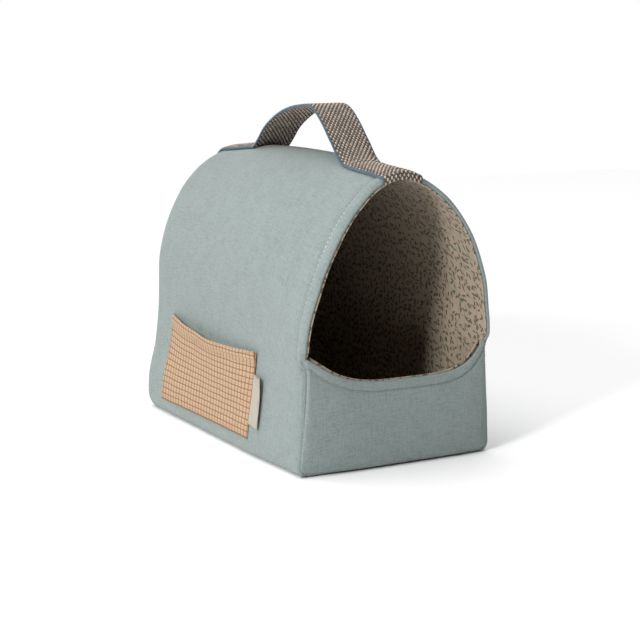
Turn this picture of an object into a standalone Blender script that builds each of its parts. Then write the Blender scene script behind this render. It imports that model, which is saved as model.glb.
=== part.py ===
"""Soft padded tunnel carrier for a small toy animal, sewn from canvas, batting and printed cotton.

The frame: metres, +Z up, origin in the middle of the flat underside. The open front faces -Y,
and the patch pocket is on the -X side.
"""
import math

import bpy
from mathutils import Matrix, Vector

# Body of the carrier
FRONT_Y = -0.123
BACK_Y = 0.127
ROOF_HEIGHT = 0.2015         # crest of the ridge
ROOF_FALL = 0.0080           # how much lower the ridge is at the front rim
ROOF_CREST_Y = 0.015
SETTLE_LENGTH = 0.080        # the section reaches its middle shape this far behind the front
SPRING_FRONT = 0.080         # where the straight sides turn into the arch
SPRING_MIDDLE = 0.103
ARCH_POWER_FRONT = 1.8       # 2 would be an ellipse, less is more pointed
ARCH_POWER_MIDDLE = 1.93
SIDE_HALF_FRONT = 0.0715     # half width where the arch starts
SIDE_HALF_MIDDLE = 0.0678
FLARE_FRONT = 0.0030         # how much wider each side stands at the base
FLARE_MIDDLE = 0.0100
FLARE_POWER = 1.6
BACK_ROUND = 0.016           # rounding between the sides and the back panel
BACK_SEAM_DEG = 45.0         # where the back panel's seam runs on that rounding
SEAM_GAP_DEG = 1.0
CURL_RADIUS = 0.005          # rounding along the base seam
OUTLINE_HEIGHTS = (0.0022, 0.005, 0.020, 0.040, 0.060)  # of the points up each side
OUTLINE_TOP_SHARE = 0.92     # and one more, as a share of the height where the arch starts
ARCH_STEP_DEG = 9.0          # between the points round the arch

# Layers, as depths below the outer face
GAP = 0.0003
LAYERS = {"outer": (0.0, 0.0008), "padding": (0.0011, 0.0035), "lining": (0.0038, 0.0045)}
WALL_BOTTOM = 0.0011
RIM_SETBACK = 0.003          # the padding stops short of a folded edge
RIM_FREE_Z = 0.081           # above this the wrap's front edge comes forward to the rim
RIM_FREE_LENGTH = 0.012      # the height over which it does so
FRONT_ROW = 0.006            # the wrap's second row of points, behind the front

# Front bib
BIB_SIDE_TOP = 0.0785        # where the bib meets the rim
BIB_LOW = 0.0588             # the lowest point of its edge
BIB_TUCK = 1.15              # the inner bib layers are cut this much narrower than their depth asks
BIB_POWER_LEFT = 3.0
BIB_POWER_RIGHT = 5.0
BIB_ROW_SHARES = (0.0, 0.03, 0.08, 0.35, 0.68, 1.0)

# Base stack, as heights
BASE_OUTER = (0.0, 0.0008)
BASE_BOARD = (0.0011, 0.0026)
BASE_PADDING = (0.0029, 0.0054)
BASE_LINING = (0.0057, 0.0064)
BASE_INSET = 0.0015          # the outer base panel, in from the wrap
BASE_STACK_INSET = 0.0072    # the pieces inside, in from the wrap

# Webbing handle, one strap along the ridge
STRAP_WIDTH = 0.030
STRAP_THICK = 0.002
STRAP_CLEAR = 0.00145        # from the roof to the strap's middle
STRAP_FRONT_FOLD = 0.0030    # how far the front end turns down over the rim
STRAP_REAR_DEG = 42.0        # where the rear end meets the back seam
# Its loop, as (y, height above the sewn strap)
LOOP_ROUTE = [
    (0.064, 0.0), (0.053, 0.0065), (0.042, 0.0142), (0.025, 0.0222), (0.007, 0.0273), (-0.010, 0.0299),
    (-0.024, 0.0309), (-0.034, 0.0276), (-0.045, 0.0196), (-0.055, 0.0105), (-0.065, 0.0034), (-0.073, 0.0),
]
FLEX_RISE = 0.0100           # the strap bends up to this height, and swings as one piece above it
STRAP_FRONT_BOX = (-0.079, -0.118)   # the two boxes of stitches, from the loop's end outward
STRAP_REAR_BOX = (0.070, 0.092)
STRAP_BOX_INSET = 0.002      # in from the strap's edges

# Patch pocket on the -X side
POCKET_Y = (-0.052, 0.084)
POCKET_Z = (0.012, 0.0745)
POCKET_THICK = 0.0008
POCKET_HEM = 0.007           # the folded top hem, twice as thick
POCKET_BOW = 0.0062          # how far the mouth stands off the side
POCKET_SAG = 0.004           # how far the mouth's middle hangs
POCKET_STITCH_INSET = 0.002  # in from the pocket's edges
POCKET_HEM_STITCH = 0.0013   # above the hem's lower edge
POCKET_SEAM_STOP = 0.0016    # the side seams stop this far below the hem

# Label tab, folded and sewn into the pocket's front seam
LABEL_Z = (0.0225, 0.0565)
LABEL_LENGTH = 0.0145
LABEL_THICK = 0.0004
LABEL_OPEN = 0.0026          # widest gap between its two layers
LABEL_ANGLE_DEG = 8.0        # off the side of the carrier
LABEL_STANDOFF = 0.0016      # its root, off the side
LABEL_SECTION_STEPS = 16

THREAD_RADIUS = 0.00025
HEM_STITCH = 0.0105          # topstitch behind the opening's edge
BIB_STITCH = 0.0068          # topstitch below the bib's edge

COLOURS = {
    "canvas": ((0.40, 0.47, 0.455), 0.95),
    "batting": ((0.86, 0.85, 0.82), 1.0),
    "board": ((0.45, 0.36, 0.26), 0.8),
    "print_cotton": ((0.62, 0.52, 0.40), 0.9),
    "webbing": ((0.30, 0.25, 0.21), 0.85),
    "gingham": ((0.72, 0.46, 0.26), 0.9),
    "label_tape": ((0.80, 0.74, 0.64), 0.9),
    "thread": ((0.34, 0.40, 0.39), 0.8),
}


def material(name):
    """The material of that name, made the first time it is asked for."""
    found = bpy.data.materials.get(name)
    if found:
        return found
    colour, roughness = COLOURS[name]
    made = bpy.data.materials.new(name)
    made.use_nodes = True
    shader = made.node_tree.nodes["Principled BSDF"]
    shader.inputs["Base Color"].default_value = (*colour, 1.0)
    shader.inputs["Roughness"].default_value = roughness
    shader.inputs["Metallic"].default_value = 0.0
    return made


def add_object(name, data, finish):
    made = bpy.data.objects.new(name, data)
    bpy.context.scene.collection.objects.link(made)
    data.materials.append(material(finish))
    return made


def slab(name, lower, upper, finish, cap=False):
    """A closed solid between two grids of points of the same size; upper is the outward face.

    The cap closes the area inside the last row, with rungs between that row's two halves.
    """
    rows, width = len(upper), len(upper[0])
    points = [point for row in upper for point in row] + [point for row in lower for point in row]
    under = rows * width
    outward = []
    for row in range(rows - 1):
        for column in range(width - 1):
            corner = row * width + column
            outward.append((corner, corner + 1, corner + width + 1, corner + width))
    if cap:
        first, last = (rows - 1) * width, rows * width - 1
        for step in range(width // 2 - 1):
            outward.append((first + step, first + step + 1, last - step - 1, last - step))
        middle = first + width // 2
        outward.append((middle - 1, middle, middle + 1))
    faces = outward + [tuple(under + index for index in reversed(face)) for face in outward]
    border = [(0, column) for column in range(width)]
    border += [(row, width - 1) for row in range(1, rows)]
    if not cap:
        border += [(rows - 1, column) for column in range(width - 2, 0, -1)]
    border += [(row, 0) for row in range(rows - 1, 0, -1)]
    rim = [row * width + column for row, column in border]
    for here, after in zip(rim, rim[1:] + rim[:1]):
        faces.append((after, here, under + here, under + after))
    mesh = bpy.data.meshes.new(name)
    mesh.from_pydata(points, [], faces)
    mesh.validate()
    mesh.shade_smooth()
    return add_object(name, mesh, finish)


def set_origin(made, place):
    """Puts a moving piece's origin on its joint's axis."""
    made.data.transform(Matrix.Translation(-place))
    made.location = place


def thread(name, points, closed=False):
    """A sewing thread along a route, as a thin four-sided tube."""
    curve = bpy.data.curves.new(name, "CURVE")
    curve.dimensions = "3D"
    curve.bevel_depth = THREAD_RADIUS
    curve.bevel_resolution = 0
    curve.use_fill_caps = True
    spline = curve.splines.new("POLY")
    spline.points.add(len(points) - 1)
    for place, point in zip(spline.points, points):
        place.co = (*point, 1.0)
    spline.use_cyclic_u = closed
    return add_object(name, curve, "thread")


def spread(low, high, count):
    return [low + (high - low) * step / (count - 1) for step in range(count)]


def mix(low, high, share):
    return low + (high - low) * share


def smooth(value):
    value = min(1.0, max(0.0, value))
    return value * value * (3.0 - 2.0 * value)


# The outer face of the tunnel

def settle(y):
    return smooth((y - FRONT_Y) / SETTLE_LENGTH)


def ridge_height(y):
    return ROOF_HEIGHT - ROOF_FALL * ((y - ROOF_CREST_Y) / (ROOF_CREST_Y - FRONT_Y)) ** 2


def spring_height(y):
    return mix(SPRING_FRONT, SPRING_MIDDLE, settle(y))


def arch_power(y):
    return mix(ARCH_POWER_FRONT, ARCH_POWER_MIDDLE, settle(y))


def side_half(y):
    return mix(SIDE_HALF_FRONT, SIDE_HALF_MIDDLE, settle(y))


def side_x(y, z):
    """Half width of the outer face below the arch, with the flare and the curl at the base seam."""
    flare = mix(FLARE_FRONT, FLARE_MIDDLE, settle(y))
    spring = spring_height(y)
    outwards = flare * ((spring - z) / spring) ** FLARE_POWER
    below = max(0.0, CURL_RADIUS - z)
    curl = CURL_RADIUS - math.sqrt(CURL_RADIUS ** 2 - below ** 2)
    return side_half(y) + outwards - curl


def back_turn(angle_deg, depth):
    """(y, inset) on the rounding between the sides and the back, at a depth below the outer face."""
    radius = BACK_ROUND - depth
    angle = math.radians(angle_deg)
    return BACK_Y - BACK_ROUND + radius * math.sin(angle), radius * (1.0 - math.cos(angle))


def roof_height(x, y):
    """Height of the outer face over a point near the ridge, with the rounding at the back."""
    reach = max(0.0, y - (BACK_Y - BACK_ROUND))
    inset = BACK_ROUND - math.sqrt(BACK_ROUND ** 2 - reach ** 2)
    width = side_half(y) - inset
    spring, power = spring_height(y), arch_power(y)
    rise = ridge_height(y) - inset - spring
    return spring + rise * (1.0 - (abs(x) / width) ** power) ** (1.0 / power)


def outline(y, shrink):
    """Cross-section of the tunnel as (x, z), from the foot of the -X side over the ridge to the +X side."""
    spring = spring_height(y)
    half = []
    for z in (WALL_BOTTOM,) + OUTLINE_HEIGHTS + (OUTLINE_TOP_SHARE * spring,):
        half.append((side_x(y, z) - shrink, z))
    width = side_half(y) - shrink
    rise = ridge_height(y) - spring - shrink
    power = 2.0 / arch_power(y)
    last = round(90.0 / ARCH_STEP_DEG)
    for step in range(last + 1):
        angle = math.radians(ARCH_STEP_DEG * step)
        across = math.cos(angle) ** power if step < last else 0.0
        half.append((width * across, spring + rise * math.sin(angle) ** power))
    return [(-x, z) for x, z in half] + [(x, z) for x, z in reversed(half[:-1])]


def front_edge(z, outer_depth, rim_setback):
    """Where a layer of the wrap starts: behind the bib below, at the rim above."""
    behind_bib = outer_depth + GAP
    return FRONT_Y + mix(behind_bib, rim_setback, smooth((z - RIM_FREE_Z) / RIM_FREE_LENGTH))


def wrap_face(depth, front_depth, rim_setback):
    """The rows of one face of the wrap, from the front edge to the back seam."""
    stations = [(FRONT_Y, 0.0)]
    stations += [(y, 0.0) for y in spread(FRONT_Y + FRONT_ROW, BACK_Y - BACK_ROUND, 13)]
    stations += [back_turn(angle, depth) for angle in spread(0.0, BACK_SEAM_DEG - SEAM_GAP_DEG, 5)[1:]]
    rows = [[(x, y, z) for x, z in outline(y, depth + inset)] for y, inset in stations]
    front = []
    for first, second in zip(rows[0], rows[1]):
        start = front_edge(first[2], front_depth, rim_setback)
        share = (start - first[1]) / (second[1] - first[1])
        front.append(tuple(mix(near, far, share) for near, far in zip(first, second)))
    return [front] + rows[1:]


def wrap_panel(name, layer, finish):
    near, far = LAYERS[layer]
    setback = RIM_SETBACK if layer == "padding" else 0.0
    slab(name, wrap_face(far, far, setback), wrap_face(near, far, setback), finish)


def back_face(depth):
    """The rows of one face of the back panel, from its seam to where it turns flat."""
    rows = []
    for angle in spread(BACK_SEAM_DEG + SEAM_GAP_DEG, 90.0, 5):
        y, inset = back_turn(angle, depth)
        rows.append([(x, y, z) for x, z in outline(y, depth + inset)])
    return rows


def back_panel(name, layer, finish):
    near, far = LAYERS[layer]
    slab(name, back_face(far), back_face(near), finish, cap=True)


def bib_top(across):
    """Height of the bib's edge, for a place across the front from -1 to 1."""
    power = BIB_POWER_LEFT if across < 0.0 else BIB_POWER_RIGHT
    return BIB_LOW + (BIB_SIDE_TOP - BIB_LOW) * abs(across) ** power


def bib_panel(name, layer, finish):
    near, far = LAYERS[layer]
    lowered = RIM_SETBACK if layer == "padding" else 0.0
    front, back = [], []
    for up in BIB_ROW_SHARES:
        places = []
        for across in spread(-1.0, 1.0, 25):
            z = mix(WALL_BOTTOM, bib_top(across) - lowered, up)
            places.append((across * (side_x(FRONT_Y, z) - near * BIB_TUCK), z))
        front.append([(x, FRONT_Y + near, z) for x, z in places])
        back.append([(x, FRONT_Y + far, z) for x, z in places])
    slab(name, back, front, finish)


def base_plate(name, heights, inset, finish):
    """A flat piece of the base, rounded at the back like the carrier."""
    bottom, top = heights
    level = CURL_RADIUS
    places = [(y, 0.0) for y in spread(FRONT_Y + inset, BACK_Y - BACK_ROUND, 7)]
    places += [back_turn(angle, inset) for angle in spread(0.0, 90.0, 6)[1:]]
    lower, upper = [], []
    for y, turn in places:
        half = side_x(y, level) - inset - turn
        lower.append([(half * share, y, bottom) for share in (-1.0, 1.0)])
        upper.append([(half * share, y, top) for share in (-1.0, 1.0)])
    return slab(name, lower, upper, finish)


# The webbing strap

def strap_line(y):
    """Height of the sewn strap's middle over the straight part of the ridge."""
    return ridge_height(y) + STRAP_CLEAR


def rear_tail_points(foot):
    """The strap's sewn rear end, from the back seam up over the rounding to the loop's rear foot."""
    level = BACK_Y - BACK_ROUND
    points = []
    for angle in spread(STRAP_REAR_DEG, 6.0, 7):
        turn = math.radians(angle)
        out = BACK_ROUND + STRAP_CLEAR
        y = level + out * math.sin(turn)
        points.append(Vector((0.0, y, ridge_height(y) - BACK_ROUND + out * math.cos(turn))))
    return points + [Vector((0.0, y, strap_line(y))) for y in spread(level, foot, 4)[:-1]]


def loop_points():
    """The loop's route as a smooth curve through the points of LOOP_ROUTE."""
    route = [Vector((0.0, y, strap_line(y) + rise)) for y, rise in LOOP_ROUTE]
    before = route[0] + Vector((0.0, 0.006, 0.0))
    after = route[-1] - Vector((0.0, 0.006, 0.0))
    route = [before] + route + [after]
    smoothed = []
    for number in range(1, len(route) - 2):
        a, b, c, d = route[number - 1:number + 3]
        for share in (0.0, 1.0 / 3.0, 2.0 / 3.0):
            bend = (2.0 * b + (c - a) * share + (2.0 * a - 5.0 * b + 4.0 * c - d) * share ** 2
                    + (3.0 * b - a - 3.0 * c + d) * share ** 3) * 0.5
            smoothed.append(bend)
    smoothed.append(route[-2])
    return smoothed


def front_fold_points():
    """The strap's front end, turned down over the rim."""
    corner = Vector((0.0, FRONT_Y, ridge_height(FRONT_Y)))
    points = []
    for angle in (60.0, 30.0, 0.0):
        turn = math.radians(angle)
        points.append(corner + Vector((0.0, -math.cos(turn), math.sin(turn))) * STRAP_CLEAR)
    points.append(points[-1] - Vector((0.0, 0.0, STRAP_FRONT_FOLD)))
    return points


def strap_piece(name, places, directions, crowns):
    """A length of webbing along the strap's route; crown 1 follows the roof's curve, 0 is flat."""
    lower, upper = [], []
    last = len(places) - 1
    for number, place in enumerate(places):
        along = directions[number]
        drawn_in = {0: GAP / 2.0, last: -GAP / 2.0}.get(number, 0.0)
        outwards = Vector((0.0, along.z, -along.y))
        roof_y = min(BACK_Y - BACK_ROUND * 0.2, max(FRONT_Y, place.y))
        bottom, top = [], []
        for x in spread(STRAP_WIDTH / 2.0, -STRAP_WIDTH / 2.0, 7):
            drop = crowns[number] * (roof_height(0.0, roof_y) - roof_height(x, roof_y))
            middle = Vector((x, place.y, place.z - drop)) + along * drawn_in
            bottom.append(middle - outwards * STRAP_THICK / 2.0)
            top.append(middle + outwards * STRAP_THICK / 2.0)
        lower.append(bottom)
        upper.append(top)
    return slab(name, lower, upper, "webbing")


def make_handle():
    """The whole strap, cut where it leaves its stitching and where it starts to swing."""
    loop = loop_points()
    rear = rear_tail_points(loop[0].y)
    front = [Vector((0.0, y, strap_line(y))) for y in spread(loop[-1].y, FRONT_Y + 0.0004, 7)[1:]]
    places = rear + loop + front + front_fold_points()
    ends = [places[0]] + places + [places[-1]]
    directions = [(after - before).normalized() for before, after in zip(ends, ends[2:])]
    rise = [place.z - strap_line(place.y) for place in places]
    free = [number for number in range(len(places)) if rise[number] >= FLEX_RISE]
    cuts = [0, len(rear), free[0], free[-1], len(rear) + len(loop) - 1, len(places) - 1]
    crowns = [1.0 - smooth(height / FLEX_RISE) for height in rise]
    names = ("rear_tail", "rear_flex", "loop", "front_flex", "front_tail")
    for name, start, end in zip(names, cuts, cuts[1:]):
        run = slice(start, end + 1)
        piece = strap_piece("handle_" + name, places[run], directions[run], crowns[run])
        if name == "loop":
            set_origin(piece, Vector((0.0, 0.0, ROOF_HEIGHT)))


def strap_stitch(name, box):
    """The box of stitches that holds one end of the strap down."""
    lift = STRAP_CLEAR + STRAP_THICK / 2.0 + GAP + THREAD_RADIUS
    half = STRAP_WIDTH / 2.0 - STRAP_BOX_INSET
    start_y, end_y = box
    route = [(x, start_y) for x in spread(-half, half, 7)]
    route += [(half, y) for y in spread(start_y, end_y, 6)[1:]]
    route += [(x, end_y) for x in spread(half, -half, 7)[1:]]
    route += [(-half, y) for y in spread(end_y, start_y, 6)[1:-1]]
    thread(name, [(x, y, roof_height(x, y) + lift) for x, y in route], closed=True)


# The pocket and its label

def pocket_face(along, up, lift):
    """A point of the pocket: along and up run from 0 to 1, lift is its height off the side."""
    y = mix(*POCKET_Y, along)
    z = mix(*POCKET_Z, up)
    z -= POCKET_SAG * math.sin(math.pi * along) * up ** 2
    bow = POCKET_BOW * math.sin(math.pi * along) ** 0.8 * up ** 1.4
    return (-(side_x(y, z) + bow + lift), y, z)


def make_pocket():
    height = POCKET_Z[1] - POCKET_Z[0]
    fold = 1.0 - POCKET_HEM / height
    steps_up = [0.0, 0.15, 0.3, 0.45, 0.6, 0.75, fold - 0.004, fold, 1.0]
    lower, upper = [], []
    for up in steps_up:
        doubled = POCKET_THICK if up >= fold else 0.0
        steps_along = spread(1.0, 0.0, 19)
        lower.append([pocket_face(along, up, GAP) for along in steps_along])
        upper.append([pocket_face(along, up, GAP + POCKET_THICK + doubled) for along in steps_along])
    slab("pocket", lower, upper, "gingham")

    lift = 2.0 * GAP + POCKET_THICK + THREAD_RADIUS
    edge_y = POCKET_STITCH_INSET / (POCKET_Y[1] - POCKET_Y[0])
    edge_z = POCKET_STITCH_INSET / height
    below_fold = fold - POCKET_SEAM_STOP / height
    route = [(1.0 - edge_y, up) for up in spread(below_fold, edge_z, 8)]
    route += [(along, edge_z) for along in spread(1.0 - edge_y, edge_y, 16)[1:]]
    route += [(edge_y, up) for up in spread(edge_z, below_fold, 8)[1:]]
    thread("pocket_stitch", [pocket_face(along, up, lift) for along, up in route])
    hem_lift = lift + POCKET_THICK
    hem_up = fold + POCKET_HEM_STITCH / height
    hem = [pocket_face(along, hem_up, hem_lift) for along in spread(1.0 - edge_y, edge_y, 18)]
    thread("pocket_hem_stitch", hem)


def label_root(z):
    """The label's hinge line in the pocket's front seam."""
    y = POCKET_Y[0] - GAP - LABEL_THICK
    return Vector((-(side_x(POCKET_Y[0], z) + LABEL_STANDOFF), y, z))


def make_label():
    """A strip folded in two, as an open loop standing on its hinge line."""
    low, high = label_root(LABEL_Z[0]), label_root(LABEL_Z[1])
    angle = math.radians(LABEL_ANGLE_DEG)
    forward = Vector((-math.sin(angle), -math.cos(angle), 0.0))
    sideways = Vector((-math.cos(angle), math.sin(angle), 0.0))
    section = []
    for step in range(LABEL_SECTION_STEPS):
        turn = 2.0 * math.pi * step / LABEL_SECTION_STEPS
        along = LABEL_LENGTH * (0.5 - 0.5 * math.cos(turn))
        half = LABEL_OPEN / 2.0 * math.sin(turn) * (0.35 + 0.65 * along / LABEL_LENGTH)
        section.append((along, half))
    middle = Vector((LABEL_LENGTH / 2.0, 0.0))
    outside, inside = [], []
    for number, (along, half) in enumerate(section):
        here = Vector((along, half))
        before, after = Vector(section[number - 1]), Vector(section[(number + 1) % LABEL_SECTION_STEPS])
        tangent = (after - before).normalized()
        normal = Vector((tangent.y, -tangent.x))
        if normal.dot(here - middle) < 0.0:
            normal.negate()
        outside.append(here + normal * LABEL_THICK / 2.0)
        inside.append(here - normal * LABEL_THICK / 2.0)
    points = []
    for foot in (low, high):
        for ring in (outside, inside):
            points += [foot + forward * place.x + sideways * place.y for place in ring]
    count = len(section)
    faces = []
    for step in range(count):
        after = (step + 1) % count
        faces.append((step, after, 2 * count + after, 2 * count + step))
        faces.append((count + after, count + step, 3 * count + step, 3 * count + after))
        faces.append((after, step, count + step, count + after))
        faces.append((2 * count + step, 2 * count + after, 3 * count + after, 3 * count + step))
    mesh = bpy.data.meshes.new("pocket_label")
    mesh.from_pydata(points, [], faces)
    mesh.validate()
    set_origin(add_object("pocket_label", mesh, "label_tape"), low)


def make_topstitches():
    """The thread round the opening's hem, and the one along the bib's edge."""
    lift = GAP + THREAD_RADIUS
    y = FRONT_Y + HEM_STITCH
    outer = [(x, z) for x, z in outline(y, -lift) if z > BIB_SIDE_TOP]
    under_strap = STRAP_WIDTH / 2.0 + 0.001
    left = [(x, y, z) for x, z in outer if x < -under_strap]
    right = [(x, y, z) for x, z in outer if x > under_strap]
    thread("hem_stitch_left", left)
    thread("hem_stitch_right", right)
    route = []
    for across in spread(-0.96, 0.96, 28):
        z = bib_top(across) - BIB_STITCH
        route.append((across * side_x(FRONT_Y, z), FRONT_Y - lift, z))
    thread("bib_stitch", route)


def build():
    for existing in list(bpy.data.objects):
        bpy.data.objects.remove(existing, do_unlink=True)
    finishes = {"outer": "canvas", "padding": "batting", "lining": "print_cotton"}
    for layer, finish in finishes.items():
        wrap_panel(layer + "_wrap", layer, finish)
        back_panel(layer + "_back", layer, finish)
        bib_panel(layer + "_bib", layer, finish)
    base_plate("outer_base", BASE_OUTER, BASE_INSET, "canvas")
    base_plate("base_board", BASE_BOARD, BASE_STACK_INSET, "board")
    base_plate("padding_base", BASE_PADDING, BASE_STACK_INSET, "batting")
    base_plate("lining_base", BASE_LINING, BASE_STACK_INSET, "print_cotton")
    make_handle()
    strap_stitch("handle_front_stitch", STRAP_FRONT_BOX)
    strap_stitch("handle_rear_stitch", STRAP_REAR_BOX)
    make_pocket()
    make_label()
    make_topstitches()


build()
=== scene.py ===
"""A soft sewn carrier for a toy animal: padded canvas, printed lining, webbing handle, checked pocket."""
import math

import bmesh
import bpy
import numpy as np
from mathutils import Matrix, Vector, noise


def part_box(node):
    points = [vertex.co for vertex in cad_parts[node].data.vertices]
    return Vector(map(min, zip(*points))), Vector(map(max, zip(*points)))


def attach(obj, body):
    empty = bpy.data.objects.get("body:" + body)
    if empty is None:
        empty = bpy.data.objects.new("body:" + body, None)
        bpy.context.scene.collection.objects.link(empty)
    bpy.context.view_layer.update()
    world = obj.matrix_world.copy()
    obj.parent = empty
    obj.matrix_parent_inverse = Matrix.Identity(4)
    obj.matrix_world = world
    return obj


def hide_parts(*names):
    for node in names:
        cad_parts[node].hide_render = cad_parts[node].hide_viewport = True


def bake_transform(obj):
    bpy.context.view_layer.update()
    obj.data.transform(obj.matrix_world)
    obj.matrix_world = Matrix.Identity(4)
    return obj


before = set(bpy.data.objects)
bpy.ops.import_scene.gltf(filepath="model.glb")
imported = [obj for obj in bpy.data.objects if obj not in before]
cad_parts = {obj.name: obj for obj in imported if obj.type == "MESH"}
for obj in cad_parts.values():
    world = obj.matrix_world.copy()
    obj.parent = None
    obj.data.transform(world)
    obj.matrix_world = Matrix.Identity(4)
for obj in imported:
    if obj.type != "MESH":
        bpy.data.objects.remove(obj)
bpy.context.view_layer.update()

# ---------------------------------------------------------------------------------------------
# Canvas wrap. One panel of washed cotton canvas goes up one side, over the ridge and down the
# other, over a layer of batting. Its front edge rolls in to make the rim of the opening, with a
# topstitched hem behind it, and its back edge is turned into the back panel's seam.
# ---------------------------------------------------------------------------------------------
front_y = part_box("outer_bib")[0].y
back_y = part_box("outer_back")[1].y
crest_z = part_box("outer_wrap")[1].z
foot_z = 0.0015
settle_length = 0.080
roof_fall = 0.0080
roof_crest_y = 0.015
curl_radius = 0.008
back_round = 0.016
back_seam_deg = 45.0
canvas_thick = 0.0008
rim_radius = 0.0014
corner_back = 0.0042
corner_inset = 0.0034
corner_length = 0.0090
hem_width = 0.0105
stitch_pitch = 0.0027
bib_side_top = 0.0785
strap_zone_z = 0.120
# Each of these pairs gives a size at the opening and the same size a settle length behind it.
spring_height = (0.080, 0.103)
half_width = (0.0715, 0.0678)
arch_power = (1.8, 1.93)
foot_flare = (0.0030, 0.0100)
flare_power = 1.6
# The sway of the open end, at some heights, and how far back it has died away.
sway_heights = (0.0, 0.030, 0.060, 0.078, 0.100, 0.119, 0.149, 0.175, 0.195)
sways = (0.0, 0.0006, 0.0, -0.0005, 0.0005, 0.0026, 0.0036, 0.0028, 0.0)
sway_length = 0.090


def eased(value):
    """0 below 0 and 1 above 1, with a smooth step between."""
    value = np.clip(value, 0.0, 1.0)
    return value * value * (3.0 - 2.0 * value)


def mixed(low, high, share):
    """The value a share of the way from low to high."""
    return low + (high - low) * share


def ridge_z(y):
    """Height of the ridge, pressed down a little where each end of the strap is sewn."""
    pressed = 0.0014 * np.exp(-((y + 0.082) / 0.022) ** 2) + 0.0018 * eased((y - 0.055) / 0.050)
    return crest_z - roof_fall * ((y - roof_crest_y) / (roof_crest_y - front_y)) ** 2 - pressed


def settled(y):
    """0 at the opening and 1 where the tunnel has settled into its own section."""
    return eased((y - front_y) / settle_length)


def spring_z(y):
    """Where the straight sides turn into the arch."""
    return mixed(*spring_height, settled(y))


def side_half(y):
    """Half the tunnel's width at the spring of the arch."""
    return mixed(*half_width, settled(y))


def arch(y, share):
    """The arch as a superellipse: 1 at its shoulder falls to 0 at its crest."""
    return np.maximum(0.0, share) ** (2.0 / mixed(*arch_power, settled(y)))


def lean(y, z):
    """How far the soft tunnel sways towards +X near its open end."""
    return np.interp(z, sway_heights, sways) * (1.0 - eased((y - front_y) / sway_length))


def side_x(y, z):
    """Half width of the outer face below the arch, with its flare and the curl at the base seam."""
    below_arch = np.clip((spring_z(y) - z) / spring_z(y), 0.0, 1.0)
    flare = mixed(*foot_flare, settled(y)) * below_arch ** flare_power
    below = np.clip(curl_radius - z, 0.0, curl_radius)
    return side_half(y) + flare - curl_radius + np.sqrt(curl_radius ** 2 - below ** 2)


def seam_inset(z, sign):
    """How far in from the wall the corner seam stands, below the opening: more on the -X side."""
    share = np.where(sign < 0.0, 1.0, 0.2) * mixed(0.1, 1.0, eased(z / 0.070))
    return corner_inset * share * eased((bib_side_top + 0.004 - z) / 0.012)


def corner_turn(y, z, sign):
    """How far the wall has turned in on its way to the corner seam."""
    near = np.clip(1.0 - (y - front_y - corner_back) / corner_length, 0.0, 1.3)
    return seam_inset(z, sign) * near ** 2


def sagging(points):
    """Lets the two low rear corners fill out, as padded corners do."""
    x, y, z = np.moveaxis(points, -1, 0)
    low = np.exp(-((z - 0.024) / 0.021) ** 2) * eased(z / 0.012)
    sideways = 0.0026 * low * eased((y - 0.010) / 0.080) * np.clip(x / 0.060, -1.0, 1.0)
    backwards = 0.0032 * low * eased((y - 0.070) / 0.050)
    return points + np.stack([sideways, backwards, 0.0 * z], axis=-1)


def tunnel(turn, sign, y, shrink):
    """Points of the tunnel: turn 0 is the foot of a side, 1 the spring of the arch and 2 the ridge."""
    spring = spring_z(y)
    z_side = foot_z + (spring - foot_z) * np.minimum(turn, 1.0)
    angle = (np.maximum(turn, 1.0) - 1.0) * math.pi / 2.0
    half = side_half(y) - shrink
    side = side_x(y, z_side) - shrink - corner_turn(y, z_side, sign)
    x = np.where(turn < 1.0, side, half * arch(y, np.cos(angle)))
    rise = ridge_z(y) - spring - shrink
    z = np.where(turn < 1.0, z_side, spring + rise * arch(y, np.sin(angle)))
    x = sign * x + lean(y, z)
    return np.stack(np.broadcast_arrays(x, y, z), axis=-1)


def columns(spacing):
    """Even places round the tunnel from the -X foot to the +X foot, as turn, sign and run of cloth."""
    turn = np.linspace(0.0, 2.0, 4001)
    x, _, z = tunnel(turn, 1.0, 0.0, 0.0).T
    run = np.concatenate([[0.0], np.cumsum(np.hypot(np.diff(x), np.diff(z)))])
    half = int(round(run[-1] / spacing))
    places = np.interp(np.linspace(0.0, run[-1], half + 1), run, turn)
    turns = np.concatenate([places, places[-2::-1]])
    signs = np.concatenate([-np.ones(half), [0.0], np.ones(half)])
    return turns[None, :], signs[None, :], np.linspace(0.0, 2.0 * run[-1], 2 * half + 1)[None, :]


def back_turn(degrees, depth):
    """(y, inset) on the rounding between the walls and the back, at a depth below the outer face."""
    angle = math.radians(degrees)
    radius = back_round - depth
    return back_y - back_round + radius * math.sin(angle), radius * (1.0 - math.cos(angle))


def waviness(points, size, scale):
    """Slow unevenness of padded cloth, in metres, at each of some points."""
    wave = [size * noise.noise(Vector(point) * scale) for point in points.reshape(-1, 3)]
    return np.array(wave).reshape(points.shape[:-1])


def soft_lift(points):
    """How far the padding pushes the cloth out or lets it in, in metres, at each of some points."""
    lift = waviness(points, 0.0011, 16.0) + waviness(points, 0.0003, 55.0)
    from_rim = eased((points[..., 1] - front_y - 0.003) / 0.020)
    from_base = eased(points[..., 2] / 0.020)
    beside_strap = eased((np.abs(points[..., 0]) - 0.012) / 0.012) + (points[..., 2] < strap_zone_z)
    return lift * from_rim * from_base * np.minimum(beside_strap, 1.0)


def outward(points):
    """Unit normals of a grid of points."""
    normals = np.cross(np.gradient(points, axis=1), np.gradient(points, axis=0))
    return normals / np.maximum(np.linalg.norm(normals, axis=-1, keepdims=True), 1e-12)


def softened(points, extra=0.0):
    """Moves cloth along its normals by the padding's lift and an extra, and lets its low corners sag."""
    return sagging(points + outward(points) * (soft_lift(points) + extra)[..., None])


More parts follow.
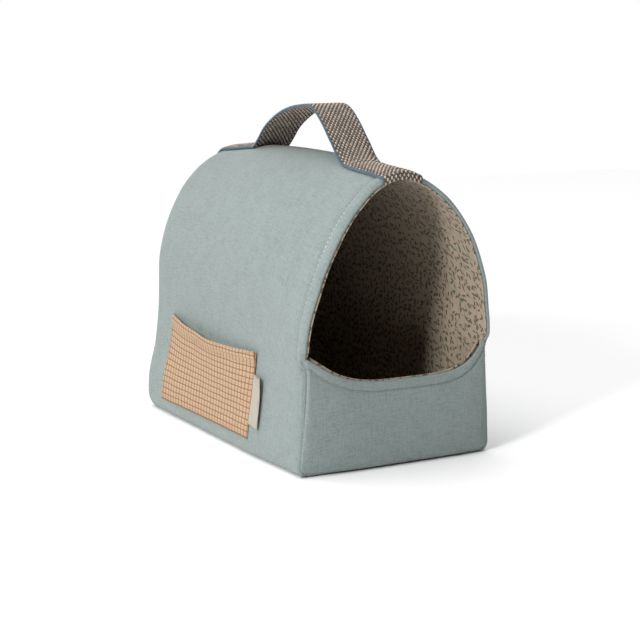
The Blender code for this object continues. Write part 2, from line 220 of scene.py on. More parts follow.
def grid_piece(name, points, cloth, finish, thickness, flip=False, weld=0.0):
    """A piece of cloth from a grid of points, with its UV map in metres of cloth."""
    rows, width = points.shape[:2]
    index = np.arange(rows * width).reshape(rows, width)
    corners = (index[:-1, :-1], index[:-1, 1:], index[1:, 1:], index[1:, :-1])
    quads = np.stack(corners, axis=-1).reshape(-1, 4)
    if flip:
        quads = quads[:, ::-1]
    mesh = bpy.data.meshes.new(name)
    mesh.from_pydata(points.reshape(-1, 3).tolist(), [], quads.tolist())
    layer = mesh.uv_layers.new(name="cloth")
    layer.data.foreach_set("uv", cloth.reshape(-1, 2)[quads.reshape(-1)].astype(np.float32).ravel())
    if weld:
        joined = bmesh.new()
        joined.from_mesh(mesh)
        bmesh.ops.remove_doubles(joined, verts=joined.verts, dist=weld)
        joined.to_mesh(mesh)
        joined.free()
    mesh.shade_smooth()
    mesh.materials.append(finish)
    piece = bpy.data.objects.new(name, mesh)
    bpy.context.scene.collection.objects.link(piece)
    if thickness:
        solid = piece.modifiers.new("cloth thickness", "SOLIDIFY")
        solid.thickness = thickness
        solid.offset = -1.0
    return piece


def placed(piece, body, slot, *nodes):
    """Puts a finished piece on its body and hides the CAD nodes it stands for; the slot is not used."""
    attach(piece, body)
    if nodes:
        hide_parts(*nodes)
    return piece


def maths(tree, operation, first, second=None, third=None, clamp=False):
    """A Math node; each input is a socket or a number."""
    node = tree.nodes.new("ShaderNodeMath")
    node.operation = operation
    node.use_clamp = clamp
    for socket, value in zip(node.inputs, (first, second, third)):
        if isinstance(value, (int, float)):
            socket.default_value = value
        elif value is not None:
            tree.links.new(value, socket)
    return node.outputs[0]


def colour_mix(tree, share, first, second):
    """A colour mix; each colour is a socket or a linear RGB triple, and share a socket or a number."""
    node = tree.nodes.new("ShaderNodeMix")
    node.data_type = "RGBA"
    sockets = [socket for socket in node.inputs if socket.enabled]
    for socket, value in zip(sockets, (share, first, second)):
        if isinstance(value, tuple):
            socket.default_value = (*value, 1.0)
        elif isinstance(value, (int, float)):
            socket.default_value = value
        else:
            tree.links.new(value, socket)
    return next(socket for socket in node.outputs if socket.enabled)


def noise_of(tree, vector, scale, detail=2.0, stretch=None):
    """A noise texture's value, on a vector that may be stretched first."""
    if stretch:
        mapping = tree.nodes.new("ShaderNodeMapping")
        mapping.inputs["Scale"].default_value = stretch
        tree.links.new(vector, mapping.inputs["Vector"])
        vector = mapping.outputs["Vector"]
    texture = tree.nodes.new("ShaderNodeTexNoise")
    texture.inputs["Scale"].default_value = scale
    texture.inputs["Detail"].default_value = detail
    tree.links.new(vector, texture.inputs["Vector"])
    return texture.outputs["Fac"]


def yarn_weave():
    """Plain weave as a group: the cloth's height, which yarn is on top, and slubs, light and dark."""
    tree = bpy.data.node_groups.new("plain_weave", "ShaderNodeTree")
    tree.interface.new_socket("Cloth", in_out="INPUT", socket_type="NodeSocketVector")
    pitch = tree.interface.new_socket("Yarn Pitch", in_out="INPUT", socket_type="NodeSocketFloat")
    pitch.default_value = 0.0006
    for name in ("Height", "Warp On Top", "Slubs"):
        tree.interface.new_socket(name, in_out="OUTPUT", socket_type="NodeSocketFloat")
    given = tree.nodes.new("NodeGroupInput")
    made = tree.nodes.new("NodeGroupOutput")
    parts = tree.nodes.new("ShaderNodeSeparateXYZ")
    tree.links.new(given.outputs["Cloth"], parts.inputs[0])
    drift = maths(tree, "MULTIPLY", noise_of(tree, given.outputs["Cloth"], 260.0), 0.0006)
    drifted = [maths(tree, "ADD", parts.outputs[axis], drift) for axis in "XY"]
    places = [maths(tree, "DIVIDE", place, given.outputs["Yarn Pitch"]) for place in drifted]
    crossing = maths(tree, "ADD", maths(tree, "FLOOR", places[0]), maths(tree, "FLOOR", places[1]))
    warp_up = maths(tree, "FLOORED_MODULO", crossing, 2.0)
    weft_up = maths(tree, "SUBTRACT", 1.0, warp_up)
    rounds = [maths(tree, "SINE", maths(tree, "MULTIPLY", maths(tree, "FRACT", place), math.pi))
              for place in places]
    warp = maths(tree, "MULTIPLY", rounds[0], maths(tree, "MULTIPLY_ADD", rounds[1], 0.55, 0.45))
    weft = maths(tree, "MULTIPLY", rounds[1], maths(tree, "MULTIPLY_ADD", rounds[0], 0.55, 0.45))
    slubs = [noise_of(tree, given.outputs["Cloth"], 900.0, 2.0, stretch)
             for stretch in ((1.0, 0.1, 1.0), (0.1, 1.0, 1.0))]
    top, height = [maths(tree, "ADD", maths(tree, "MULTIPLY", of_warp, warp_up),
                         maths(tree, "MULTIPLY", of_weft, weft_up))
                   for of_warp, of_weft in (slubs, (warp, weft))]
    tree.links.new(maths(tree, "ADD", height, top), made.inputs["Height"])
    tree.links.new(warp_up, made.inputs["Warp On Top"])
    tree.links.new(top, made.inputs["Slubs"])
    return tree


plain_weave = yarn_weave()


def new_finish(name, roughness, sheen):
    """A cloth-like material: its shader, its tree and the vector of its UV map in metres."""
    finish = bpy.data.materials.new(name)
    finish.use_nodes = True
    tree = finish.node_tree
    shader = tree.nodes["Principled BSDF"]
    shader.inputs["Roughness"].default_value = roughness
    shader.inputs["Specular IOR Level"].default_value = 0.15
    shader.inputs["Sheen Weight"].default_value = sheen
    shader.inputs["Sheen Roughness"].default_value = 0.6
    cloth = tree.nodes.new("ShaderNodeUVMap")
    cloth.uv_map = "cloth"
    return finish, tree, shader, cloth.outputs["UV"]


def woven(tree, cloth, pitch):
    """The outputs of a plain weave laid on a piece's cloth."""
    group = tree.nodes.new("ShaderNodeGroup")
    group.node_tree = plain_weave
    group.inputs["Yarn Pitch"].default_value = pitch
    tree.links.new(cloth, group.inputs["Cloth"])
    return group.outputs


def bumped(tree, shader, height, distance, strength=0.6):
    """Lets a height stand up from the surface as bump."""
    bump = tree.nodes.new("ShaderNodeBump")
    bump.inputs["Strength"].default_value = strength
    bump.inputs["Distance"].default_value = distance
    tree.links.new(height, bump.inputs["Height"])
    tree.links.new(bump.outputs["Normal"], shader.inputs["Normal"])


def canvas_finish():
    """Dusty aqua-grey canvas of slubby yarns, washed soft, with a fine light and dark speckle and painted
    shade between the yarns.
    """
    finish, tree, shader, cloth = new_finish("canvas", 0.95, 0.2)
    weave = woven(tree, cloth, 0.00062)
    mottle = noise_of(tree, cloth, 70.0, 4.0)
    speckle = noise_of(tree, cloth, 800.0, 3.0)
    streaks = maths(tree, "ADD", noise_of(tree, cloth, 520.0, 3.0, (1.0, 0.3, 1.0)),
                    noise_of(tree, cloth, 520.0, 3.0, (0.3, 1.0, 1.0)))
    light = maths(tree, "ADD", maths(tree, "MULTIPLY", weave["Slubs"], 0.5),
                  maths(tree, "ADD", maths(tree, "MULTIPLY", mottle, 0.35),
                        maths(tree, "MULTIPLY", streaks, 0.35)))
    light = maths(tree, "ADD", light, maths(tree, "MULTIPLY", speckle, 1.1))
    light = maths(tree, "MULTIPLY", maths(tree, "SUBTRACT", light, 0.92), 2.1, clamp=True)
    yarn = colour_mix(tree, light, (0.155, 0.196, 0.190), (0.275, 0.325, 0.314))
    # Painted shade: the low places between the yarns are mixed towards a darker colour, as shade would fall
    # there.
    painted_gap_shade = maths(tree, "MULTIPLY", weave["Height"], 0.75, clamp=True)
    tree.links.new(colour_mix(tree, painted_gap_shade, (0.135, 0.170, 0.164), yarn), shader.inputs["Base Color"])
    bumped(tree, shader, weave["Height"], 0.00022)
    return finish


canvas = canvas_finish()


def free_rim(z):
    """0 where the wrap's front edge is sewn to the bib, and 1 where it is the rim of the opening."""
    return eased((z - 0.0745) / 0.009)


def hem_line(z):
    """How far behind the front edge the hem's stitching runs: it slants into the corner seam at its foot."""
    return mixed(0.0015, hem_width, eased((z - 0.0625) / 0.017))


def tucked_under(points, cloth):
    """Adds the columns along both feet that turn in to the base seam."""
    for end, step in ((0, 1), (-1, -1)):
        for inward, down in ((0.0009, 0.0004), (0.0023, 0.0002)):
            edge = points[:, end]
            middle_x = np.clip(edge[:, 0], -0.046, 0.046)
            middle_y = np.clip(edge[:, 1], front_y + 0.02, back_y - back_round)
            middle = np.stack([middle_x, middle_y, edge[:, 2]], axis=-1)
            towards = middle - edge
            towards /= np.maximum(np.linalg.norm(towards, axis=-1, keepdims=True), 1e-9)
            fresh = edge + towards * inward - np.array([0.0, 0.0, down])
            strip = cloth[:, end] - np.array([step * inward, 0.0])
            at = 0 if end == 0 else points.shape[1]
            points = np.insert(points, at, fresh, axis=1)
            cloth = np.insert(cloth, at, strip, axis=1)
    return points, cloth


turns, signs, runs = columns(stitch_pitch / 2.0)
rim_z = tunnel(turns, signs, front_y, 0.0)[0, :, 2]
rim_free = free_rim(rim_z)
rim_wave = np.array([noise.noise(Vector((run * 60.0, 0.4, 0.7))) for run in runs[0]])
roll = mixed(0.0014, rim_radius, rim_free) * (1.0 + 0.12 * rim_wave * rim_free)
rim_start = mixed(front_y + corner_back, front_y + 0.0006 * rim_wave, rim_free)
every_other = np.arange(runs.shape[1]) % 2


def wrap_grid():
    """The canvas from its tail inside the rim, round the roll, back along the tunnel, into the back seam."""
    rows = [tunnel(turns, signs, rim_start + roll + 0.004, 2.0 * roll)[0]]
    lengths = [-0.009]
    for degrees in np.linspace(180.0, 0.0, 10):
        out = roll * (1.0 - math.cos(math.radians(degrees)))
        rows.append(tunnel(turns, signs, rim_start + roll * (1.0 - math.sin(math.radians(degrees))), out)[0])
        lengths.append(-0.0045 * degrees / 180.0)
    near_rim = np.linspace(0.0030, 0.0150, 17)
    along_tunnel = np.linspace(0.0174, back_y - back_round - front_y, 88)
    for station in np.concatenate([near_rim, along_tunnel]):
        rows.append(tunnel(turns, signs, np.maximum(front_y + station, rim_start + roll * 1.02), 0.0)[0])
        lengths.append(station)
    last = lengths[-1]
    for degrees in (*np.arange(5.0, 45.0, 5.0), back_seam_deg - 1.5):
        y, inset = back_turn(degrees, 0.0)
        rows.append(tunnel(turns, signs, y, inset)[0])
        lengths.append(last + back_round * math.radians(degrees))
    for degrees, depth in ((back_seam_deg - 0.6, 0.0008), (back_seam_deg - 0.4, 0.0022)):
        y, inset = back_turn(degrees, depth)
        rows.append(tunnel(turns, signs, y, inset + depth)[0])
        lengths.append(lengths[-1] + 0.0012)
    return np.array(rows), np.array(lengths)


wrap_points, wrap_lengths = wrap_grid()
from_line = wrap_points[..., 1] - front_y - hem_line(wrap_points[..., 2])
outside_rows = (np.arange(len(wrap_points)) >= 10)[:, None]
hem_share = np.clip(1.0 + from_line / np.maximum(hem_line(wrap_points[..., 2]), 0.003), 0.0, 1.0)
hem_band = 0.0009 * np.sin(math.pi * hem_share) ** 0.8 * eased((wrap_points[..., 2] - 0.062) / 0.01)
valley = 0.0008 * np.exp(-(from_line / 0.0022) ** 2)
stitch_holes = 0.0004 * every_other * np.exp(-(from_line / 0.0008) ** 2)
stitch_dip = (valley + stitch_holes) * eased((wrap_points[..., 2] - 0.064) / 0.006)
wrap_points = softened(wrap_points, (hem_band - stitch_dip) * outside_rows)
wrap_cloth = np.stack(np.broadcast_arrays(runs, wrap_lengths[:, None]), axis=-1)
wrap_points, wrap_cloth = tucked_under(wrap_points, wrap_cloth)
canvas_wrap = grid_piece("canvas_wrap", wrap_points, wrap_cloth, canvas, canvas_thick)
placed(canvas_wrap, "root", "canvas", "outer_wrap")

# ---------------------------------------------------------------------------------------------
# Canvas bib. The low front panel is cut from the same canvas: its top edge dips in the middle and
# rolls over to the inside, and its side and lower edges turn in to the corner and base seams.
# ---------------------------------------------------------------------------------------------
bib_low = 0.0588
bib_stitch_drop = 0.0068


def bib_top(across):
    """Height of the bib's edge, for places from -1 to 1 across the front."""
    power = np.where(across < 0.0, 3.0, 5.0)
    return mixed(bib_low, bib_side_top, np.abs(across) ** power)


def bib_rows(top, low_z):
    """Heights of the bib's rows from the base seam to its edge, closer together near the edge."""
    rows = [mixed(low_z, top - 0.0165, share) for share in np.linspace(0.0, 1.0, 24)]
    rows += [top - drop for drop in np.linspace(0.0157, rim_radius, 18)]
    return np.array(rows)


def edge_roll(last_row, radius, tail):
    """Rows that carry a front cloth over its top edge and down behind it."""
    rows = []
    for degrees in np.linspace(20.0, 180.0, 9):
        angle = math.radians(degrees)
        rows.append(last_row + np.array([0.0, radius * (1.0 - math.cos(angle)), radius * math.sin(angle)]))
    rows.append(rows[-1] - np.array([0.0, 0.0, tail]))
    return rows


def bib_face(share, inset, back, low_z=foot_z):
    """A grid of the bib: share is the place from -1 to 1, inset is from the side and back from the front."""
    z = bib_rows(bib_top(share * 0.999), low_z)
    x = share * (side_x(front_y, z) - seam_inset(z, share) - 0.0011 - inset)
    cushion = 0.0030 * np.clip((np.abs(x) - 0.038) / 0.032, 0.0, 1.2) ** 2
    below = np.clip(curl_radius - z, 0.0, curl_radius)
    y = front_y + back + cushion + 0.8 * (curl_radius - np.sqrt(curl_radius ** 2 - below ** 2))
    return np.stack([x + lean(front_y, z), y, z + 0.0 * x], axis=-1)


bib_edge = [(0.0026, 0.0024), (0.0010, 0.0021)]
for degrees in (0.0, 18.0, 36.0, 54.0, 72.0):
    turned = math.radians(degrees)
    bib_edge.append((0.0016 * (1.0 - math.cos(turned)), 0.0016 * (1.0 - math.sin(turned))))
bib_middle = [(share, 0.0016, 0.0) for share in np.linspace(-1.0, 1.0, 101)]
bib_left = [(-1.0, *place) for place in bib_edge]
bib_right = [(1.0, *place) for place in bib_edge[::-1]]
bib_share, bib_inset, bib_back = np.array(bib_left + bib_middle + bib_right).T
bib_points = bib_face(bib_share, bib_inset, bib_back)
bib_drop = bib_top(bib_share * 0.999) - bib_points[..., 2]
bib_every_other = np.arange(len(bib_share)) % 2
bib_dip = 0.0003 * np.exp(-((bib_drop - bib_stitch_drop) / 0.0014) ** 2)
bib_dip += 0.0007 * bib_every_other * np.exp(-((bib_drop - bib_stitch_drop) / 0.0007) ** 2)
bib_band = 0.0003 * np.sin(math.pi * np.clip(bib_drop / bib_stitch_drop, 0.0, 1.0))
bib_inner = eased((1.0 - np.abs(bib_points[..., 0]) / 0.0715) / 0.08)
bib_puff = 0.0012 * eased(bib_points[..., 2] / 0.015) * eased(bib_drop / 0.02) * bib_inner
bib_noise = waviness(bib_points, 0.0016, 22.0) * bib_inner * eased(bib_drop / 0.01)
bib_points[..., 1] -= (bib_band - bib_dip) * bib_inner + bib_puff + bib_noise
bib_points = np.concatenate([bib_points, edge_roll(bib_points[-1], rim_radius, 0.004)])
seam_row = bib_points[0] + np.array([0.0, 0.0016, -0.0005])
bib_points = np.concatenate([[seam_row], bib_points])
bib_cloth = np.stack([bib_points[..., 0], bib_points[..., 2] + bib_points[..., 1] - front_y], axis=-1)
canvas_bib = grid_piece("canvas_bib", bib_points, bib_cloth, canvas, canvas_thick)
placed(canvas_bib, "root", "canvas", "outer_bib")

# ---------------------------------------------------------------------------------------------
# Canvas back. The closed end is one rounded panel of canvas, seamed to the wrap part-way round
# the corner so that the back looks soft and full.
# ---------------------------------------------------------------------------------------------
back_rungs = 44


def back_grid(depth, first_deg, turns_up):
    """The back panel's cloth at a depth: rows go up its two sides, and columns from side to side."""
    places = [back_turn(degrees, depth) for degrees in np.linspace(first_deg, 90.0, 10)]
    left = np.array([tunnel(turns_up, -1.0, y, inset + depth) for y, inset in places]).swapaxes(0, 1)
    flat_left = left[:, -1:]
    flat_right = flat_left * np.array([-1.0, 1.0, 1.0])
    shares = np.linspace(0.0, 1.0, back_rungs + 1)[None, 1:-1, None]
    flat = flat_left + (flat_right - flat_left) * shares
    right = left[:, ::-1] * np.array([-1.0, 1.0, 1.0])
    return np.concatenate([left, flat, right], axis=1)


def back_lift(points):
    """Soft padding behind the back panel: a shallow crown and slow unevenness, none at the seams."""
    inner = eased((points[..., 1] - (back_y - 0.014)) / 0.012) * eased(points[..., 2] / 0.03)
    crown = 0.0012 * np.cos(np.clip(np.abs(points[..., 0]) / 0.05, 0.0, 1.0) * math.pi / 2.0)
    return (waviness(points, 0.0014, 18.0) + crown) * inner


half_turns = np.union1d(turns[0, :turns.shape[1] // 2 + 1:2], [2.0])
back_points = back_grid(0.0, back_seam_deg + 1.5, half_turns)
back_points[..., 1] += back_lift(back_points)
back_points = sagging(back_points)
tuck_y, tuck_inset = back_turn(back_seam_deg + 0.5, 0.0018)
tuck = sagging(tunnel(half_turns, -1.0, tuck_y, tuck_inset + 0.0018))[:, None]
back_points = np.concatenate([tuck, back_points, tuck * np.array([-1.0, 1.0, 1.0])], axis=1)
low_row = back_points[0] * np.array([0.96, 0.985, 1.0]) - np.array([0.0, 0.0, 0.0006])
back_points = np.concatenate([[low_row], back_points])
back_spread = np.sign(back_points[..., 0]) * (back_y - back_points[..., 1]) * 0.6
back_cloth = np.stack([back_points[..., 0] + back_spread, back_points[..., 2]], axis=-1)
canvas_back = grid_piece("canvas_back", back_points, back_cloth, canvas, canvas_thick, flip=True, weld=1e-5)
placed(canvas_back, "root", "canvas", "outer_back")

# ---------------------------------------------------------------------------------------------
# Canvas base. The flat bottom is a canvas panel over a stiff board; its edge turns up a little way
# to the base seam that runs round the foot of the walls.
# ---------------------------------------------------------------------------------------------
def footprint(inset, z, count=34):
    """The base's outline as a ring of points, drawn in by an inset, from the middle of the front."""
    front_corner = 0.006
    level = np.linspace(front_y + inset + front_corner, back_y - back_round, count)
    places = [(side_x(y, curl_radius) - inset, y) for y in level]
    corner_y, corner_x = level[0], places[0][0]
    sweep = front_corner * 0.9
    arc = [(corner_x - sweep * (1.0 - math.cos(angle)), corner_y - front_corner * math.sin(angle))
           for angle in np.radians((90.0, 72.0, 54.0, 36.0, 18.0))]
    front = [(corner_x * share, corner_y - front_corner) for share in np.linspace(0.0, 0.85, 14)]
    places = front + arc + places
    for degrees in np.linspace(8.0, 90.0, 11):
        y, turned = back_turn(degrees, inset)
        places.append((side_x(y, curl_radius) - inset - turned, y))
    x_end = places[-1][0]
    places += [(x_end * share, places[-1][1]) for share in np.linspace(0.9, 0.0, 12)]
    ring = [(-x, y, z) for x, y in places] + [(x, y, z) for x, y in places[-2:0:-1]]
    return np.array(ring)


base_profile = [(0.0070, 0.0026), (0.0056, 0.0025), (0.0046, 0.0023), (0.0041, 0.0019), (0.0042, 0.0014),
                (0.0048, 0.0010), (0.0060, 0.0008), (0.014, 0.0008)]
base_rings = [footprint(inset, z) for inset, z in base_profile]
base_rings += [base_rings[-1] * np.array([1.0 - share, 1.0, 1.0]) for share in (0.3, 0.6, 0.85, 1.0)]
base_points = np.array(base_rings)
base_points = np.concatenate([base_points, base_points[:, :1]], axis=1)
base_cloth = base_points[..., :2].copy()
canvas_base = grid_piece("canvas_base", base_points, base_cloth, canvas, canvas_thick, weld=1e-5)
placed(canvas_base, "root", "canvas", "outer_base")

# ---------------------------------------------------------------------------------------------
# Batting. Soft white wadding, cut a little smaller than the canvas and laid against the inside of
# each panel, gives the walls their body. It stops short of the rolled rim.
# ---------------------------------------------------------------------------------------------
batting_near = 0.0011
batting_thick = 0.0020


def batting_finish():
    """White wadding: matted fibres, uneven at two scales."""
    finish, tree, shader, _ = new_finish("batting", 1.0, 0.4)
    place = tree.nodes.new("ShaderNodeTexCoord").outputs["Object"]
    fibres = noise_of(tree, place, 900.0, 6.0, (1.0, 0.25, 1.0))
    lumps = noise_of(tree, place, 90.0, 3.0)
    tone = maths(tree, "ADD", maths(tree, "MULTIPLY", fibres, 0.6), maths(tree, "MULTIPLY", lumps, 0.4))
    colour = colour_mix(tree, tone, (0.70, 0.69, 0.65), (0.93, 0.92, 0.89))
    tree.links.new(colour, shader.inputs["Base Color"])
    bumped(tree, shader, tone, 0.0006)
    return finish


def plain_wrap(depth, start, spacing):
    """The tunnel's cloth at a depth, from a start behind the rim to the middle of the back rounding."""
    around = columns(spacing)
    stations = np.arange(start, back_y - back_round, spacing)
    rows = [tunnel(around[0], around[1], y, depth)[0] for y in stations]
    for degrees in np.linspace(2.0, back_seam_deg, 6):
        y, inset = back_turn(degrees, depth)
        rows.append(tunnel(around[0], around[1], y, inset + depth)[0])
    points = softened(np.array(rows))
    lengths = np.arange(len(rows)) * spacing
    return points, np.stack(np.broadcast_arrays(around[2], lengths[:, None]), axis=-1)


batting = batting_finish()
points, cloth = plain_wrap(batting_near, front_y + 0.0058, 0.0050)
batting_wrap = grid_piece("batting_wrap", points, cloth, batting, batting_thick)
placed(batting_wrap, "root", "batting", "padding_wrap")
bib_layer_share = np.linspace(-1.0, 1.0, 41)
points = bib_face(bib_layer_share, 0.0052, batting_near)[:34]
batting_bib = grid_piece("batting_bib", points, points[..., [0, 2]], batting, batting_thick)
placed(batting_bib, "root", "batting", "padding_bib")
points = sagging(back_grid(batting_near, back_seam_deg + 1.5, np.union1d(half_turns[::3], [2.0])))
batting_back = grid_piece("batting_back", points, points[..., [0, 2]], batting, batting_thick, flip=True,
                          weld=1e-5)
placed(batting_back, "root", "batting", "padding_back")

# ---------------------------------------------------------------------------------------------
# Base stack. A sheet of brown board keeps the floor of the carrier flat, and a pad of batting lies
# on it under the lining.
# ---------------------------------------------------------------------------------------------
def board_finish():
    """Pressed brown board with short fibres."""
    finish, tree, shader, _ = new_finish("board", 0.85, 0.0)
    place = tree.nodes.new("ShaderNodeTexCoord").outputs["Object"]
    fibres = noise_of(tree, place, 1400.0, 4.0, (1.0, 0.2, 1.0))
    colour = colour_mix(tree, fibres, (0.30, 0.23, 0.15), (0.52, 0.43, 0.31))
    tree.links.new(colour, shader.inputs["Base Color"])
    bumped(tree, shader, fibres, 0.0001)
    return finish


def plate(name, node, inset, finish):
    """A flat piece of the base with eased edges, in the space of its CAD node."""
    low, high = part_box(node)
    middle, half = (low.z + high.z) / 2.0, (high.z - low.z) / 2.0
    rings = []
    for degrees in (-90.0, -60.0, -30.0, 0.0, 30.0, 60.0, 90.0):
        angle = math.radians(degrees)
        rings.append(footprint(inset + half * (1.0 - math.cos(angle)), middle + half * math.sin(angle)))
    for narrowing in (0.925, 0.85, 0.775, 0.0):
        drawn_in = np.array([narrowing, 1.0, 1.0])
        rings = [rings[0] * drawn_in, *rings, rings[-1] * drawn_in]
    points = np.array(rings)
    points = np.concatenate([points, points[:, :1]], axis=1)
    return grid_piece(name, points, points[..., :2], finish, 0.0, flip=True, weld=1e-5)


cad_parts["base_board"].data.materials.clear()
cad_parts["base_board"].data.materials.append(board_finish())
batting_base = plate("batting_base", "padding_base", 0.0078, batting)
placed(batting_base, "root", "batting", "padding_base")

# ---------------------------------------------------------------------------------------------
# Lining. The inside is printed cotton, sewn as a second tunnel and slipped in: small brown leaves
# on thin stems with a few rust leaves and teal flowers, on beige. Its edge shows as a fine pale
# line all round the opening, where it is turned under and sewn to the rolled rim.
# ---------------------------------------------------------------------------------------------
lining_thick = 0.0005
lining_depth = 0.0044
bead_radius = 0.0006
seam_gap = 0.0002


def leaf_layer(tree, cloth, scale, seed, length, width, share):
    """A mask of scattered leaves: one small oval in a share of the cells, each turned its own way."""
    mapping = tree.nodes.new("ShaderNodeMapping")
    mapping.inputs["Location"].default_value = (seed * 0.137, seed * 0.071, seed * 1.7)
    tree.links.new(cloth, mapping.inputs["Vector"])
    cells = tree.nodes.new("ShaderNodeTexVoronoi")
    cells.voronoi_dimensions = "2D"
    cells.inputs["Scale"].default_value = scale
    cells.inputs["Randomness"].default_value = 0.75
    tree.links.new(mapping.outputs["Vector"], cells.inputs["Vector"])
    scaled = tree.nodes.new("ShaderNodeVectorMath")
    scaled.operation = "SUBTRACT"
    tree.links.new(mapping.outputs["Vector"], scaled.inputs[0])
    tree.links.new(cells.outputs["Position"], scaled.inputs[1])
    chance = tree.nodes.new("ShaderNodeSeparateColor")
    tree.links.new(cells.outputs["Color"], chance.inputs[0])
    turned = tree.nodes.new("ShaderNodeVectorRotate")
    turned.rotation_type = "Z_AXIS"
    tree.links.new(scaled.outputs[0], turned.inputs["Vector"])
    tree.links.new(maths(tree, "MULTIPLY", chance.outputs[0], 2.0 * math.pi), turned.inputs["Angle"])
    parts = tree.nodes.new("ShaderNodeSeparateXYZ")
    tree.links.new(turned.outputs[0], parts.inputs[0])
    along = maths(tree, "POWER", maths(tree, "DIVIDE", parts.outputs[0], length / 2.0), 2.0)
    across = maths(tree, "POWER", maths(tree, "DIVIDE", parts.outputs[1], width / 2.0), 2.0)
    inside = maths(tree, "LESS_THAN", maths(tree, "ADD", along, across), 1.0)
    kept = maths(tree, "LESS_THAN", chance.outputs[1], share)
    return maths(tree, "MULTIPLY", inside, kept)


def print_finish():
    """Beige cotton printed with leaves, stems and a few flowers."""
    finish, tree, shader, cloth = new_finish("print_cotton", 0.92, 0.1)
    weave = woven(tree, cloth, 0.00035)
    clouds = noise_of(tree, cloth, 180.0, 4.0)
    ground = colour_mix(tree, clouds, (0.345, 0.280, 0.205), (0.430, 0.355, 0.270))
    bend = tree.nodes.new("ShaderNodeTexNoise")
    bend.inputs["Scale"].default_value = 45.0
    tree.links.new(cloth, bend.inputs["Vector"])
    bent = tree.nodes.new("ShaderNodeVectorMath")
    bent.operation = "MULTIPLY_ADD"
    bent.inputs[1].default_value = (0.012, 0.012, 0.0)
    tree.links.new(bend.outputs["Color"], bent.inputs[0])
    tree.links.new(cloth, bent.inputs[2])
    cells = tree.nodes.new("ShaderNodeTexVoronoi")
    cells.voronoi_dimensions = "2D"
    cells.feature = "DISTANCE_TO_EDGE"
    cells.inputs["Scale"].default_value = 78.0
    tree.links.new(bent.outputs[0], cells.inputs["Vector"])
    stem = maths(tree, "LESS_THAN", cells.outputs["Distance"], 0.013)
    colour = colour_mix(tree, maths(tree, "MULTIPLY", stem, 0.75), ground, (0.120, 0.080, 0.048))
    layers = [(195.0, 1, 0.0038, 0.0014, 0.90, (0.085, 0.055, 0.033)),
              (172.0, 2, 0.0034, 0.0013, 0.65, (0.110, 0.074, 0.044)),
              (140.0, 4, 0.0036, 0.0014, 0.16, (0.200, 0.085, 0.038)),
              (105.0, 5, 0.0032, 0.0026, 0.30, (0.085, 0.125, 0.095))]
    for scale, seed, length, width, share, tint in layers:
        leaf = leaf_layer(tree, cloth, scale, seed, length, width, share)
        colour = colour_mix(tree, maths(tree, "MULTIPLY", leaf, 0.9), colour, tint)
    tree.links.new(colour, shader.inputs["Base Color"])
    bumped(tree, shader, weave["Height"], 0.00012)
    return finish


print_cotton = print_finish()
behind_roll = 2.0 * roll + seam_gap
bead_start = mixed(front_y + 0.0048, rim_start + 0.0009, rim_free)
lining_rows = [tunnel(turns, signs, bead_start + 0.0045, behind_roll)[0]]
lining_lengths = [-0.006]
for degrees in np.linspace(0.0, 180.0, 8):
    angle = math.radians(degrees)
    deep = behind_roll + bead_radius * (1.0 - math.cos(angle))
    lining_rows.append(tunnel(turns, signs, bead_start - bead_radius * math.sin(angle), deep)[0])
    lining_lengths.append(-0.0018 * (1.0 - degrees / 180.0))
for station in np.linspace(0.002, back_y - back_round - front_y - 0.0046, 78):
    y = np.maximum(front_y + station, bead_start + 0.0004 * (1.0 + station / 0.2))
    deep = mixed(behind_roll + 2.0 * bead_radius, lining_depth, eased((station - 0.001) / 0.006))
    lining_rows.append(tunnel(turns, signs, y, deep)[0])
    lining_lengths.append(station)
for degrees in np.linspace(8.0, back_seam_deg, 6):
    y, inset = back_turn(degrees, lining_depth)
    lining_rows.append(tunnel(turns, signs, y, inset + lining_depth)[0])
    lining_lengths.append(lining_lengths[-1] + 0.003)
lining_points = softened(np.array(lining_rows))
lining_cloth = np.stack(np.broadcast_arrays(runs, np.array(lining_lengths)[:, None]), axis=-1)
lining_wrap = grid_piece("print_lining_wrap", lining_points, lining_cloth, print_cotton, lining_thick,
                         flip=True)
placed(lining_wrap, "root", "print_cotton", "lining_wrap")

share = np.linspace(-1.0, 1.0, 101)
inner = bib_face(share, 0.0046, 0.0)
inner[..., 1] += lining_depth
edge_row = inner[-1] - np.array([0.0, lining_depth, 0.0])
edge_row[:, 1] += 2.0 * rim_radius + seam_gap + 2.0 * bead_radius
edge_row[:, 2] += 0.0013
bead_rows = []
for degrees in np.linspace(0.0, 180.0, 8):
    angle = math.radians(degrees)
    over, up = bead_radius * (1.0 - math.cos(angle)), bead_radius * math.sin(angle)
    bead_rows.append(edge_row + np.array([0.0, -over, up]))
bead_rows.append(bead_rows[-1] - np.array([0.0, 0.0, 0.004]))
inner[-6:, :, 1] = mixed(inner[-6:, :, 1], edge_row[:, 1], np.linspace(0.0, 1.0, 6)[:, None])
inner = np.concatenate([inner, bead_rows])
inner_cloth = np.stack([inner[..., 0], inner[..., 2] - inner[..., 1]], axis=-1)
lining_bib = grid_piece("print_lining_bib", inner, inner_cloth, print_cotton, lining_thick, flip=True)
placed(lining_bib, "root", "print_cotton", "lining_bib")

inner = back_grid(lining_depth, back_seam_deg, half_turns)
inner[..., 1] += back_lift(inner + np.array([0.0, lining_depth, 0.0]))
inner = sagging(inner)
lining_back = grid_piece("print_lining_back", inner, inner[..., [0, 2]], print_cotton, lining_thick,
                         weld=1e-5)
placed(lining_back, "root", "print_cotton", "lining_back")

lining_base = plate("print_lining_base", "lining_base", 0.0072, print_cotton)
placed(lining_base, "root", "print_cotton", "lining_base")

